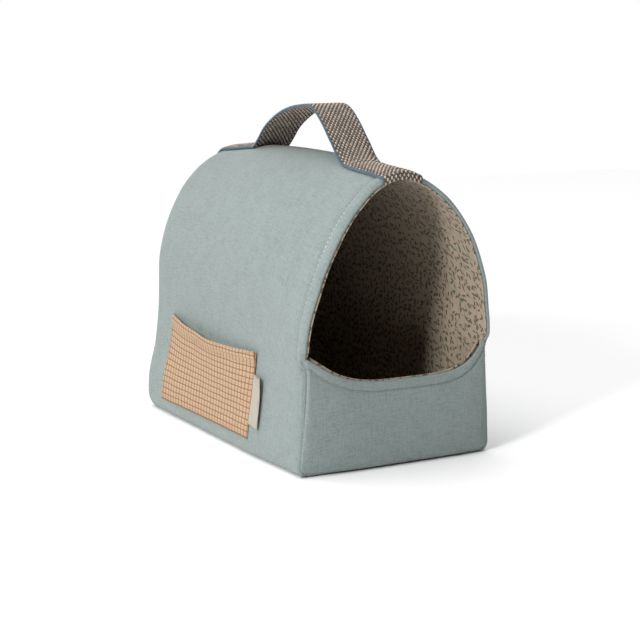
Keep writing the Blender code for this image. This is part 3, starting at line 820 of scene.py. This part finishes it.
# ---------------------------------------------------------------------------------------------
# Topstitching. A grey-green thread runs round the hem of the opening and along the bib's edge; each
# stitch sinks into the padded cloth and shows as a short dash.
# ---------------------------------------------------------------------------------------------
def short_yarns():
    """A node tree that lays one short rounded yarn along each point's own direction."""
    tree = bpy.data.node_groups.new("short_yarns", "GeometryNodeTree")
    for name, kind in (("Points", "NodeSocketGeometry"), ("Yarn Size", "NodeSocketVector"),
                       ("Unevenness", "NodeSocketFloat"), ("Seed", "NodeSocketInt"),
                       ("Finish", "NodeSocketMaterial")):
        tree.interface.new_socket(name, in_out="INPUT", socket_type=kind)
    tree.interface.new_socket("Yarns", in_out="OUTPUT", socket_type="NodeSocketGeometry")
    given = tree.nodes.new("NodeGroupInput")
    yarn = tree.nodes.new("GeometryNodeMeshUVSphere")
    yarn.inputs["Segments"].default_value = 6
    yarn.inputs["Rings"].default_value = 5
    yarn.inputs["Radius"].default_value = 0.5
    sized = tree.nodes.new("GeometryNodeTransform")
    tree.links.new(yarn.outputs["Mesh"], sized.inputs["Geometry"])
    tree.links.new(given.outputs["Yarn Size"], sized.inputs["Scale"])
    turned = None
    for axis, attribute in (("Z", "along"), ("Y", "up")):
        direction = tree.nodes.new("GeometryNodeInputNamedAttribute")
        direction.data_type = "FLOAT_VECTOR"
        direction.inputs["Name"].default_value = attribute
        align = tree.nodes.new("FunctionNodeAlignRotationToVector")
        align.axis = axis
        align.pivot_axis = "AUTO" if axis == "Z" else "Z"
        tree.links.new(direction.outputs["Attribute"], align.inputs["Vector"])
        if turned:
            tree.links.new(turned, align.inputs["Rotation"])
        turned = align.outputs["Rotation"]
    uneven = tree.nodes.new("FunctionNodeRandomValue")
    uneven.data_type = "FLOAT"
    tree.links.new(given.outputs["Seed"], uneven.inputs["Seed"])
    numbers = [socket for socket in uneven.inputs if socket.enabled and socket.type == "VALUE"]
    for socket, operation in zip(numbers, ("SUBTRACT", "ADD")):
        limit = tree.nodes.new("ShaderNodeMath")
        limit.operation = operation
        limit.inputs[0].default_value = 1.0
        tree.links.new(given.outputs["Unevenness"], limit.inputs[1])
        tree.links.new(limit.outputs[0], socket)
    spread = next(socket for socket in uneven.outputs if socket.enabled)
    laid = tree.nodes.new("GeometryNodeInstanceOnPoints")
    tree.links.new(given.outputs["Points"], laid.inputs["Points"])
    tree.links.new(sized.outputs["Geometry"], laid.inputs["Instance"])
    tree.links.new(turned, laid.inputs["Rotation"])
    tree.links.new(spread, laid.inputs["Scale"])
    tinted = tree.nodes.new("GeometryNodeStoreNamedAttribute")
    tinted.data_type = "FLOAT"
    tinted.domain = "INSTANCE"
    tinted.inputs["Name"].default_value = "tint"
    chance = tree.nodes.new("FunctionNodeRandomValue")
    tree.links.new(given.outputs["Seed"], chance.inputs["Seed"])
    tree.links.new(next(socket for socket in chance.outputs if socket.enabled), tinted.inputs["Value"])
    tree.links.new(laid.outputs["Instances"], tinted.inputs["Geometry"])
    real = tree.nodes.new("GeometryNodeRealizeInstances")
    smooth = tree.nodes.new("GeometryNodeSetShadeSmooth")
    finished = tree.nodes.new("GeometryNodeSetMaterial")
    made = tree.nodes.new("NodeGroupOutput")
    tree.links.new(tinted.outputs["Geometry"], real.inputs["Geometry"])
    tree.links.new(real.outputs["Geometry"], smooth.inputs["Geometry"])
    tree.links.new(smooth.outputs["Geometry"], finished.inputs["Geometry"])
    tree.links.new(given.outputs["Finish"], finished.inputs["Material"])
    tree.links.new(finished.outputs["Geometry"], made.inputs["Yarns"])
    return tree


yarn_tree = short_yarns()


def lay_yarns(name, places, along, up, size, finish, unevenness=0.06, seed=1):
    """A piece of many short yarns at some places, each lying along its own direction."""
    places = np.asarray(places).reshape(-1, 3)
    mesh = bpy.data.meshes.new(name)
    mesh.from_pydata(places.tolist(), [], [])
    for attribute, vectors in (("along", along), ("up", up)):
        layer = mesh.attributes.new(attribute, "FLOAT_VECTOR", "POINT")
        vectors = np.broadcast_to(vectors, places.shape)
        layer.data.foreach_set("vector", np.ascontiguousarray(vectors, dtype=np.float32).ravel())
    piece = bpy.data.objects.new(name, mesh)
    bpy.context.scene.collection.objects.link(piece)
    modifier = piece.modifiers.new("short yarns", "NODES")
    modifier.node_group = yarn_tree
    values = {"Yarn Size": size, "Unevenness": unevenness, "Seed": seed, "Finish": finish}
    for item in yarn_tree.interface.items_tree:
        if item.name in values:
            modifier[item.identifier] = values[item.name]
    bpy.context.view_layer.update()
    evaluated = piece.evaluated_get(bpy.context.evaluated_depsgraph_get())
    made = bpy.data.meshes.new_from_object(evaluated)
    piece.modifiers.remove(modifier)
    piece.data = made
    made.name = name
    bpy.data.meshes.remove(mesh)
    return piece


def thread_finish(name, dark, light):
    """Spun thread: fine twist shown as light and dark, and a little colour change from stitch to stitch."""
    finish, tree, shader, _ = new_finish(name, 0.8, 0.2)
    tint = tree.nodes.new("ShaderNodeAttribute")
    tint.attribute_name = "tint"
    twist = noise_of(tree, tree.nodes.new("ShaderNodeTexCoord").outputs["Object"], 2600.0, 2.0)
    share = maths(tree, "ADD", maths(tree, "MULTIPLY", tint.outputs["Fac"], 0.6),
                  maths(tree, "MULTIPLY", maths(tree, "SUBTRACT", twist, 0.3), 1.0), clamp=True)
    tree.links.new(colour_mix(tree, share, dark, light), shader.inputs["Base Color"])
    bumped(tree, shader, twist, 0.0001)
    return finish


def directions(points):
    """Unit steps along a line of points."""
    steps = np.gradient(points, axis=0)
    return steps / np.linalg.norm(steps, axis=-1, keepdims=True)


def sewn(name, node, path, up, size, finish):
    """A row of stitches along a path, in place of its CAD node."""
    return placed(lay_yarns(name, path, directions(path), up, size, finish), "root", "thread", node)


thread_colour = thread_finish("thread", (0.105, 0.134, 0.130), (0.200, 0.240, 0.232))
stitch_size = (0.00042, 0.00042, 0.0021)
strap_half = 0.0150
on_hem = (rim_z > 0.066) & (np.abs(tunnel(turns, signs, front_y, 0.0)[0, :, 0]) > strap_half + 0.0012)
on_hem &= every_other == 0
hem_y = front_y + hem_line(tunnel(turns, signs, front_y + hem_width, 0.0)[..., 2])
hem_path = tunnel(turns, signs, hem_y, 0.0)
hem_path = np.concatenate([hem_path - [0.0, 0.001, 0.0], hem_path, hem_path + [0.0, 0.001, 0.0]])
hem_path = softened(hem_path, -0.00085)[1][on_hem]
for side, chosen in (("left", hem_path[:, 0] < 0.0), ("right", hem_path[:, 0] > 0.0)):
    sewn("hem_stitches_" + side, "hem_stitch_" + side, hem_path[chosen], (0.0, 0.0, 1.0), stitch_size,
         thread_colour)
bib_face_points = bib_points[1:43]
stitch_row = np.argmin(np.abs(bib_drop - bib_stitch_drop), axis=0)
bib_path = np.array([bib_face_points[row, column] for column, row in enumerate(stitch_row)
                     if abs(bib_share[column]) < 0.99 and column % 2 == 0])
sewn("bib_stitches", "bib_stitch", bib_path - [0.0, 0.00002, 0.0], (0.0, -1.0, 0.0), stitch_size,
     thread_colour)

# ---------------------------------------------------------------------------------------------
# Handle. One length of plain-woven webbing runs along the ridge from the back seam to the front
# rim, where its end folds over the edge; between its two stitched boxes it stands up as a loop.
# Peach and navy yarns cross over a dark core, and each edge is a blue selvedge.
# ---------------------------------------------------------------------------------------------
strap_clear = 0.00145
strap_core = 0.0012
selvedge_width = 0.0011
yarn_columns = 18
yarn_rows_pitch = 0.0020
loop_route = [
    (0.061, 0.0), (0.050, 0.0065), (0.039, 0.0142), (0.022, 0.0222), (0.005, 0.0273), (-0.011, 0.0299),
    (-0.024, 0.0309), (-0.034, 0.0276), (-0.045, 0.0196), (-0.055, 0.0105), (-0.065, 0.0034), (-0.073, 0.0),
]


def roof_z(x, y):
    """Height of the canvas over a point near the ridge."""
    reach = np.clip(y - (back_y - back_round), 0.0, back_round * 0.9)
    inset = back_round - np.sqrt(back_round ** 2 - reach ** 2)
    power = mixed(*arch_power, settled(y))
    rise = ridge_z(y) - inset - spring_z(y)
    return spring_z(y) + rise * (1.0 - (np.abs(x) / (side_half(y) - inset)) ** power) ** (1.0 / power)


def smooth_route(route, steps):
    """A Catmull-Rom curve through the points of a route."""
    before = route[0] + (route[0] - route[1]) * 0.5
    after = route[-1] + (route[-1] - route[-2]) * 0.5
    route = np.array([before, *route, after])
    share = np.linspace(0.0, 1.0, steps, endpoint=False)[:, None]
    curve = []
    for a, b, c, d in zip(route, route[1:], route[2:], route[3:]):
        curve.append(0.5 * (2.0 * b + (c - a) * share + (2.0 * a - 5.0 * b + 4.0 * c - d) * share ** 2
                            + (3.0 * b - a - 3.0 * c + d) * share ** 3))
    return np.concatenate(curve + [route[-2:-1]])


def strap_route():
    """The strap's middle line as (y, z, height over the sewn line), from the rear end to the front fold."""
    level = back_y - back_round
    out = back_round + strap_clear
    line = []
    for degrees in np.linspace(42.0, 4.0, 12):
        angle = math.radians(degrees)
        y = level + out * math.sin(angle)
        line.append((y, ridge_z(y) - back_round + out * math.cos(angle), 0.0))
    line += [(y, ridge_z(y) + strap_clear, 0.0) for y in np.linspace(level, 0.0665, 9)]
    flat = np.array([(y, rise) for y, rise in loop_route])
    for y, rise in smooth_route(flat, 8):
        line.append((y, ridge_z(y) + strap_clear + rise, rise))
    line += [(y, ridge_z(y) + strap_clear, 0.0) for y in np.linspace(-0.0755, front_y + 0.0004, 16)]
    for degrees in (70.0, 50.0, 30.0, 10.0, 0.0):
        angle = math.radians(degrees)
        out, up = strap_clear * math.cos(angle), strap_clear * math.sin(angle)
        line.append((front_y - out, ridge_z(front_y) + up, 0.0))
    line += [(front_y - strap_clear, ridge_z(front_y) - drop, 0.0) for drop in (0.0010, 0.0020, 0.0026)]
    return np.array(line)


def evenly(points, pitch):
    """Points spaced evenly along a line of points."""
    run = np.concatenate([[0.0], np.cumsum(np.linalg.norm(np.diff(points[:, :2], axis=0), axis=1))])
    count = int(round(run[-1] / pitch)) + 1
    places = np.linspace(0.0, run[-1], count)
    return np.stack([np.interp(places, run, points[:, axis]) for axis in range(points.shape[1])], axis=1)


def on_strap(line, x, lift):
    """Points across the strap: a row for each place of its line, x across it and a lift off its middle."""
    y, z, rise = line.T[:, :, None]
    steps = np.gradient(line[:, :2], axis=0)
    steps /= np.linalg.norm(steps, axis=1, keepdims=True)
    up_y, up_z = steps[:, 1, None], -steps[:, 0, None]
    crown = 1.0 - eased(rise / 0.010)
    roof_y = np.clip(y, front_y, back_y - back_round * 0.2)
    drop = crown * (roof_z(0.0 * y, roof_y) - roof_z(x, roof_y))
    points = np.stack(np.broadcast_arrays(x, y + up_y * lift, z - drop + up_z * lift), axis=-1)
    slope = np.gradient(points, axis=1) if points.shape[1] > 1 else np.array([1.0, 0.0, 0.0])
    along = np.gradient(points, axis=0)
    up = np.cross(along, slope)
    up /= np.linalg.norm(up, axis=-1, keepdims=True)
    along /= np.linalg.norm(along, axis=-1, keepdims=True)
    return points, along, up


strap_line = strap_route()


def capped(points, drawn_in):
    """Closes a tube of points with a row at each end, drawn in to its middle along the chosen axes."""
    ends = [mixed(row, row.mean(axis=0), np.array(drawn_in)) for row in (points[0], points[-1])]
    return np.concatenate([[ends[0]], points, [ends[1]]])


def strap_piece(piece):
    """Bakes a strap piece's placement into its mesh."""
    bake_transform(piece)


def webbing_core_finish():
    """Dark ground of the webbing, with fine ribs across it."""
    finish, tree, shader, cloth = new_finish("webbing_core", 0.9, 0.1)
    ribs = noise_of(tree, cloth, 700.0, 3.0, (1.0, 0.3, 1.0))
    colour = colour_mix(tree, ribs, (0.030, 0.028, 0.030), (0.11, 0.085, 0.065))
    tree.links.new(colour, shader.inputs["Base Color"])
    bumped(tree, shader, ribs, 0.0002)
    return finish


core_pitch = 0.0014
core_line = evenly(strap_line, core_pitch)
half_core = strap_half - 0.0006
across = np.linspace(half_core, -half_core, 13)
core_x = np.concatenate([across, across[::-1], [half_core]])
core_lift = np.repeat([strap_core / 2.0, -strap_core / 2.0, strap_core / 2.0], [13, 13, 1])
core_points = capped(on_strap(core_line, core_x[None, :], core_lift[None, :])[0], (0.0, 1.0, 1.0))
core_runs = np.arange(len(core_points))[:, None] * core_pitch
core_cloth = np.stack(np.broadcast_arrays(core_x[None, :], core_runs), axis=-1)
strap_core_piece = grid_piece("handle_webbing_core", core_points, core_cloth, webbing_core_finish(), 0.0,
                              weld=1e-6)
strap_piece(strap_core_piece)
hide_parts("handle_rear_tail", "handle_rear_flex", "handle_loop", "handle_front_flex",
            "handle_front_tail")

peach_yarn = thread_finish("peach_yarn", (0.300, 0.225, 0.150), (0.520, 0.395, 0.280))
navy_yarn = thread_finish("navy_yarn", (0.016, 0.026, 0.042), (0.075, 0.095, 0.120))
weave_line = evenly(strap_line, yarn_rows_pitch)
yarn_half = strap_half - selvedge_width
yarn_x = (np.arange(yarn_columns) + 0.5) / yarn_columns * 2.0 * yarn_half - yarn_half
parity = (np.arange(len(weave_line))[:, None] + np.arange(yarn_columns)[None, :]) % 2
for name, finish, wanted, size, lift in (
        ("handle_webbing_peach", peach_yarn, 0, (0.00152, 0.0012, 0.0022), 0.00060),
        ("handle_webbing_navy", navy_yarn, 1, (0.00150, 0.0010, 0.0022), 0.00050)):
    places, alongs, ups = [], [], []
    for side in (1.0, -1.0):
        points, along, up = on_strap(weave_line, yarn_x[None, :], side * lift)
        chosen = parity == (wanted if side > 0.0 else 1 - wanted)
        places.append(points[chosen])
        alongs.append(along[chosen])
        ups.append(up[chosen])
    both_faces = [np.concatenate(faces) for faces in (places, alongs, ups)]
    yarns = lay_yarns(name, *both_faces, size, finish, unevenness=0.10, seed=wanted + 3)
    strap_piece(yarns)

selvedge_pitch = 0.0005
rib_pitch = 0.0011
selvedge_line = evenly(strap_line, selvedge_pitch)
angles = np.linspace(0.0, 2.0 * math.pi, 9)
ribs_along = np.arange(len(selvedge_line))[:, None] * selvedge_pitch / rib_pitch
ribbing = 1.0 + 0.13 * np.sin(ribs_along * 2.0 * math.pi)
selvedge_blue = thread_finish("selvedge_blue", (0.035, 0.075, 0.115), (0.105, 0.180, 0.250))
for side, sign in (("left", -1.0), ("right", 1.0)):
    middle = sign * (strap_half - selvedge_width / 2.0)
    x = middle + selvedge_width / 2.0 * np.cos(angles)[None, :] * ribbing
    lift = 0.00085 * np.sin(angles)[None, :] * ribbing
    points = capped(on_strap(selvedge_line, x, lift)[0], (1.0, 1.0, 1.0))
    edge_runs = np.arange(len(points))[:, None] * selvedge_pitch
    cloth = np.stack(np.broadcast_arrays(angles[None, :] * 0.001, edge_runs), axis=-1)
    edge = grid_piece("handle_selvedge_" + side, points, cloth, selvedge_blue, 0.0, weld=1e-6)
    strap_piece(edge)

strap_thread = thread_finish("strap_thread", (0.030, 0.034, 0.045), (0.085, 0.080, 0.080))


def stitched_box(start_y, end_y):
    """Places round the box of stitches that holds one end of the strap down."""
    half = strap_half - 0.0024
    corners = np.array([(-half, start_y), (half, start_y), (half, end_y), (-half, end_y), (-half, start_y)])
    ring = evenly(np.column_stack([corners, np.zeros(5)]), stitch_pitch)[:-1, :2]
    x, y = ring.T
    return np.column_stack([x, y, roof_z(x, y) + strap_clear + 0.00115])


for name, start_y, end_y in (("front", front_y + 0.005, -0.079), ("rear", 0.070, 0.092)):
    sewn(f"handle_{name}_stitches", f"handle_{name}_stitch", stitched_box(start_y, end_y), (0.0, 0.0, 1.0),
         (0.0005, 0.0005, 0.0021), strap_thread)

# ---------------------------------------------------------------------------------------------
# Pocket. A patch of small gingham is stitched to the side along three edges. Its top is a doubled
# hem that stands off the side and hangs a little in the middle.
# ---------------------------------------------------------------------------------------------
pocket_foot = 0.012
pocket_height = 0.0625
pocket_thick = 0.0007
pocket_bow = 0.0062
pocket_sag = 0.004
pocket_hem = 0.007
pocket_clear = 0.0003
pocket_inset = 0.015
pocket_width = 0.1362
pocket_face_run = 0.0655
pocket_stitch_size = (0.00035, 0.00035, 0.0018)
# Heights of the mouth at its front and rear ends, and places of the two seams at the foot and the mouth.
mouth_heights = (0.0718, 0.0766)
front_seam = (-0.0510, -0.0546)
rear_seam = (0.0890, 0.0838)


def on_side(y, z, lift):
    """Points on the -X side of the carrier, lifted off the canvas."""
    base = np.stack(np.broadcast_arrays(-side_x(y, z) + lean(y, z), y, z), axis=-1)
    out = soft_lift(base) + lift
    return sagging(base - np.stack([out, np.zeros_like(out), np.zeros_like(out)], axis=-1))


def pocket_seam(up):
    """How far forward the pocket's front seam stands: it slants towards the opening on its way up."""
    return mixed(*front_seam, up)


def pocket_points(along, up, lift):
    """Points of the pocket: along runs back from its front seam, and up from its foot, both from 0 to 1."""
    belly = np.sin(np.pi * np.clip(along, 0.0, 1.0))
    rise = np.clip(up, 0.0, 1.0)
    z = mixed(pocket_foot, mixed(*mouth_heights, along), up) - pocket_sag * belly * rise ** 2
    bow = pocket_bow * belly ** 0.8 * rise ** 1.4
    ripple = 0.0006 * np.sin(along * 17.0) * rise ** 3 * belly
    flick = 0.0016 * eased((0.08 - np.abs(along - 0.02)) / 0.08) * rise ** 8
    y = mixed(pocket_seam(up), mixed(*rear_seam, up), along)
    return on_side(y, z, lift + bow + ripple + flick)


def gingham_finish():
    """Peach cotton with a small woven check of rust lines and finer olive and pink threads between, and
    painted shade in the low places of the weave.
    """
    finish, tree, shader, cloth = new_finish("gingham", 0.92, 0.12)
    weave = woven(tree, cloth, 0.00042)
    parts = tree.nodes.new("ShaderNodeSeparateXYZ")
    tree.links.new(cloth, parts.inputs[0])
    wobble = maths(tree, "MULTIPLY", maths(tree, "SUBTRACT", noise_of(tree, cloth, 60.0), 0.5), 0.0012)
    colour = colour_mix(tree, maths(tree, "MULTIPLY", weave["Slubs"], 1.0, clamp=True), (0.49, 0.345, 0.215),
                        (0.61, 0.435, 0.28))
    for pitch, width, tint, strength in ((0.00222, 0.00034, (0.38, 0.28, 0.16), 0.6),
                                         (0.00444, 0.00110, (0.21, 0.085, 0.035), 0.80)):
        for axis in "XY":
            place = maths(tree, "FLOORED_MODULO", maths(tree, "ADD", parts.outputs[axis], wobble), pitch)
            band = maths(tree, "LESS_THAN", place, width)
            colour = colour_mix(tree, maths(tree, "MULTIPLY", band, strength), colour, tint)
    # Painted shade: the low places between the yarns are mixed towards dark brown, as shade would fall
    # there.
    painted_weave_shade = maths(tree, "MULTIPLY", weave["Height"], 0.8, clamp=True)
    dark = colour_mix(tree, 0.7, colour, (0.30, 0.17, 0.09))
    tree.links.new(colour_mix(tree, painted_weave_shade, dark, colour), shader.inputs["Base Color"])
    bumped(tree, shader, weave["Height"], 0.0002)
    return finish


fold_up = 1.0 - pocket_hem / pocket_height
pocket_along = np.linspace(1.0, 0.0, 103)[None, :]
front_up = np.concatenate([np.linspace(0.0, 0.80, 34), np.linspace(0.815, 0.99, 16)])[:, None]
stitch_line = fold_up + 0.015
dip = 0.0004 * np.exp(-((front_up - stitch_line) / 0.012) ** 2)
seam_dip = 0.0003 * np.exp(-((front_up - 0.03) / 0.015) ** 2)
for seam in (pocket_inset, 1.0 - pocket_inset):
    seam_dip = seam_dip + 0.0003 * np.exp(-((pocket_along - seam) / 0.007) ** 2)
raised = pocket_thick * 1.2 * eased((front_up - fold_up) / 0.02)
face = pocket_points(pocket_along, front_up, pocket_clear + pocket_thick + raised - dip - seam_dip)
over = []
for degrees in (30.0, 60.0, 90.0, 120.0, 150.0):
    angle = math.radians(degrees)
    lift = pocket_clear + pocket_thick + raised[-1, 0] * (0.5 + 0.5 * math.cos(angle))
    over.append(pocket_points(pocket_along, 0.99 + 0.013 * math.sin(angle), lift)[0])
inside_up = np.linspace(0.985, fold_up - 0.03, 6)[:, None]
inner_face = pocket_points(pocket_along, inside_up, 0.0004 + pocket_thick * 0.2)
pocket_grid = np.concatenate([face, over, inner_face])
turned_edge = pocket_points(pocket_along, -0.003, 0.0001)
pocket_grid = np.concatenate([turned_edge, pocket_grid])
past_fold = np.concatenate([np.linspace(0.0, 0.002, 5), np.linspace(0.0025, 0.0090, 6)])
lengths = np.concatenate([[-0.001], front_up[:, 0] * pocket_face_run, pocket_face_run + past_fold])
pocket_cloth = np.stack(np.broadcast_arrays(pocket_along * pocket_width, lengths[:, None]), axis=-1)
pocket = grid_piece("gingham_pocket", pocket_grid, pocket_cloth, gingham_finish(), pocket_thick)
placed(pocket, "root", "gingham", "pocket")

pocket_thread = thread_finish("pocket_thread", (0.30, 0.16, 0.08), (0.60, 0.38, 0.22))
hem_along = np.linspace(1.0 - pocket_inset, pocket_inset, 52)
ring = [(1.0 - pocket_inset, up) for up in np.linspace(fold_up, 0.03, 22)]
ring += [(along, 0.03) for along in hem_along[1:]]
ring += [(pocket_inset, up) for up in np.linspace(0.03, fold_up, 22)[1:]]
ring = np.array(ring)
edge_path = pocket_points(ring[:, 0], ring[:, 1], pocket_clear + pocket_thick + 0.00005)
hem_path = pocket_points(hem_along, stitch_line, pocket_clear + pocket_thick * 2.0)
for row, path in (("edge", edge_path), ("hem", hem_path)):
    node = "pocket_stitch" if row == "edge" else "pocket_hem_stitch"
    sewn(f"pocket_{row}_stitches", node, path, (-1.0, 0.0, 0.0), pocket_stitch_size, pocket_thread)

# ---------------------------------------------------------------------------------------------
# Label. A plain cream tape is folded in two and caught in the pocket's front seam, so it flaps on
# that seam. It carries no mark.
# ---------------------------------------------------------------------------------------------
label_low = 0.0225
label_high = 0.0565
label_length = 0.0145
label_thick = 0.0004
label_open = 0.0026
label_twist = (0.03, 0.22)


def label_finish():
    """Cream twill tape: fine slanting ribs and an uneven tone."""
    finish, tree, shader, cloth = new_finish("label_tape", 0.85, 0.15)
    parts = tree.nodes.new("ShaderNodeSeparateXYZ")
    tree.links.new(cloth, parts.inputs[0])
    slant = maths(tree, "ADD", parts.outputs[0], parts.outputs[1])
    ribs = maths(tree, "SINE", maths(tree, "MULTIPLY", slant, 2.0 * math.pi / 0.0009))
    tone = maths(tree, "ADD", maths(tree, "MULTIPLY", ribs, 0.12), noise_of(tree, cloth, 200.0, 4.0))
    colour = colour_mix(tree, tone, (0.31, 0.275, 0.230), (0.44, 0.40, 0.340))
    tree.links.new(colour, shader.inputs["Base Color"])
    bumped(tree, shader, ribs, 0.00006)
    return finish


def label_grid():
    """The folded tape, from the seam out to its fold and back, row by row up the seam."""
    turn = np.linspace(0.06, 2.0 * math.pi - 0.06, 49)
    along = label_length * (0.5 - 0.5 * np.cos(turn))
    rows = []
    for share in np.linspace(0.0, 1.0, 25):
        root_z = mixed(label_low, label_high, share)
        angle = mixed(*label_twist, share)
        forward = np.array([-math.sin(angle), -math.cos(angle), 0.0])
        sideways = np.array([-math.cos(angle), math.sin(angle), 0.0])
        seam_y = pocket_seam((root_z - pocket_foot) / pocket_height)
        root = np.array([-(side_x(seam_y, root_z) + 0.0017), min(seam_y - 0.0006, -0.0524), root_z])
        gape = label_open * mixed(0.35, 1.0, share)
        half = gape / 2.0 * np.sin(turn) * (0.35 + 0.65 * along / label_length)
        curl = 0.0004 * (along / label_length) ** 2 * math.cos(share * 5.0)
        droop = 0.0012 * (along / label_length) * (1.0 - 0.7 * share)
        row = root + forward * along[:, None] + sideways * (half + curl)[:, None]
        row[:, 2] -= droop
        rows.append(row)
    return np.array(rows), turn


label_points, label_turn = label_grid()
label_rows = np.linspace(0.0, label_high - label_low, 25)[:, None]
label_runs = label_turn[None, :] / math.pi * label_length
label_cloth = np.stack(np.broadcast_arrays(label_runs, label_rows), axis=-1)
label = grid_piece("pocket_label_tape", label_points, label_cloth, label_finish(), label_thick)
placed(label, "label", "label_tape", "pocket_label")

# ---------------------------------------------------------------------------------------------
# Studio. A plain pale floor, a key light from the front left, and a broad soft light overhead. The
# sky is dim as a light and white to the camera.
# ---------------------------------------------------------------------------------------------
def studio_floor():
    """A wide pale floor just under the carrier."""
    finish = bpy.data.materials.new("studio_floor")
    finish.use_nodes = True
    shader = finish.node_tree.nodes["Principled BSDF"]
    shader.inputs["Base Color"].default_value = (0.96, 0.96, 0.96, 1.0)
    shader.inputs["Roughness"].default_value = 0.9
    shader.inputs["Specular IOR Level"].default_value = 0.1
    mesh = bpy.data.meshes.new("studio_floor")
    reach, level = 1.6, -0.0002
    corners = [(x * reach, y * reach, level) for x, y in ((-1, -1), (1, -1), (1, 1), (-1, 1))]
    mesh.from_pydata(corners, [], [(0, 1, 2, 3)])
    mesh.materials.append(finish)
    floor = bpy.data.objects.new("studio_floor", mesh)
    bpy.context.scene.collection.objects.link(floor)


def soft_light(name, place, target, size, power):
    """An area light that points at a target."""
    lamp = bpy.data.lights.new(name, "AREA")
    lamp.shape = "RECTANGLE"
    lamp.size, lamp.size_y = size
    lamp.energy = power
    light = bpy.data.objects.new(name, lamp)
    light.location = place
    light.rotation_euler = (Vector(target) - Vector(place)).to_track_quat("-Z", "Y").to_euler()
    bpy.context.scene.collection.objects.link(light)


studio_floor()
soft_light("key", (-1.88, -0.96, 1.0), (0.0, 0.0, 0.08), (0.45, 0.45), 40.0)
overhead = bpy.data.lights.new("overhead", "SUN")
overhead.energy = 2.85
overhead.angle = math.radians(75.0)
overhead_light = bpy.data.objects.new("overhead", overhead)
overhead_light.rotation_euler = (math.radians(-14.0), math.radians(-8.0), 0.0)
bpy.context.scene.collection.objects.link(overhead_light)

world = bpy.data.worlds.new("studio")
world.use_nodes = True
sky = world.node_tree.nodes["Background"]
sky.inputs["Color"].default_value = (1.0, 1.0, 1.0, 1.0)
sky.inputs["Strength"].default_value = 0.12
seen = world.node_tree.nodes.new("ShaderNodeBackground")
seen.inputs["Color"].default_value = (1.0, 1.0, 1.0, 1.0)
seen.inputs["Strength"].default_value = 1.0
rays = world.node_tree.nodes.new("ShaderNodeLightPath")
either = world.node_tree.nodes.new("ShaderNodeMixShader")
world.node_tree.links.new(rays.outputs["Is Camera Ray"], either.inputs["Fac"])
world.node_tree.links.new(sky.outputs[0], either.inputs[1])
world.node_tree.links.new(seen.outputs[0], either.inputs[2])
world.node_tree.links.new(either.outputs[0], world.node_tree.nodes["World Output"].inputs["Surface"])
bpy.context.scene.world = world
bpy.context.scene.view_settings.view_transform = "Standard"

camera_data = bpy.data.cameras.new("camera")
camera_data.lens = 90.8
camera_data.sensor_width = 36.0
camera = bpy.data.objects.new("camera", camera_data)
aim = Vector((0.0046, -0.0062, 0.0793))
azimuth, elevation, distance = math.radians(-28.9), math.radians(10.3), 1.158
behind = Vector((math.sin(azimuth) * math.cos(elevation), -math.cos(azimuth) * math.cos(elevation),
                 math.sin(elevation)))
camera.location = aim + behind * distance
camera.rotation_euler = (-behind).to_track_quat("-Z", "Y").to_euler()
bpy.context.scene.collection.objects.link(camera)
bpy.context.scene.camera = camera
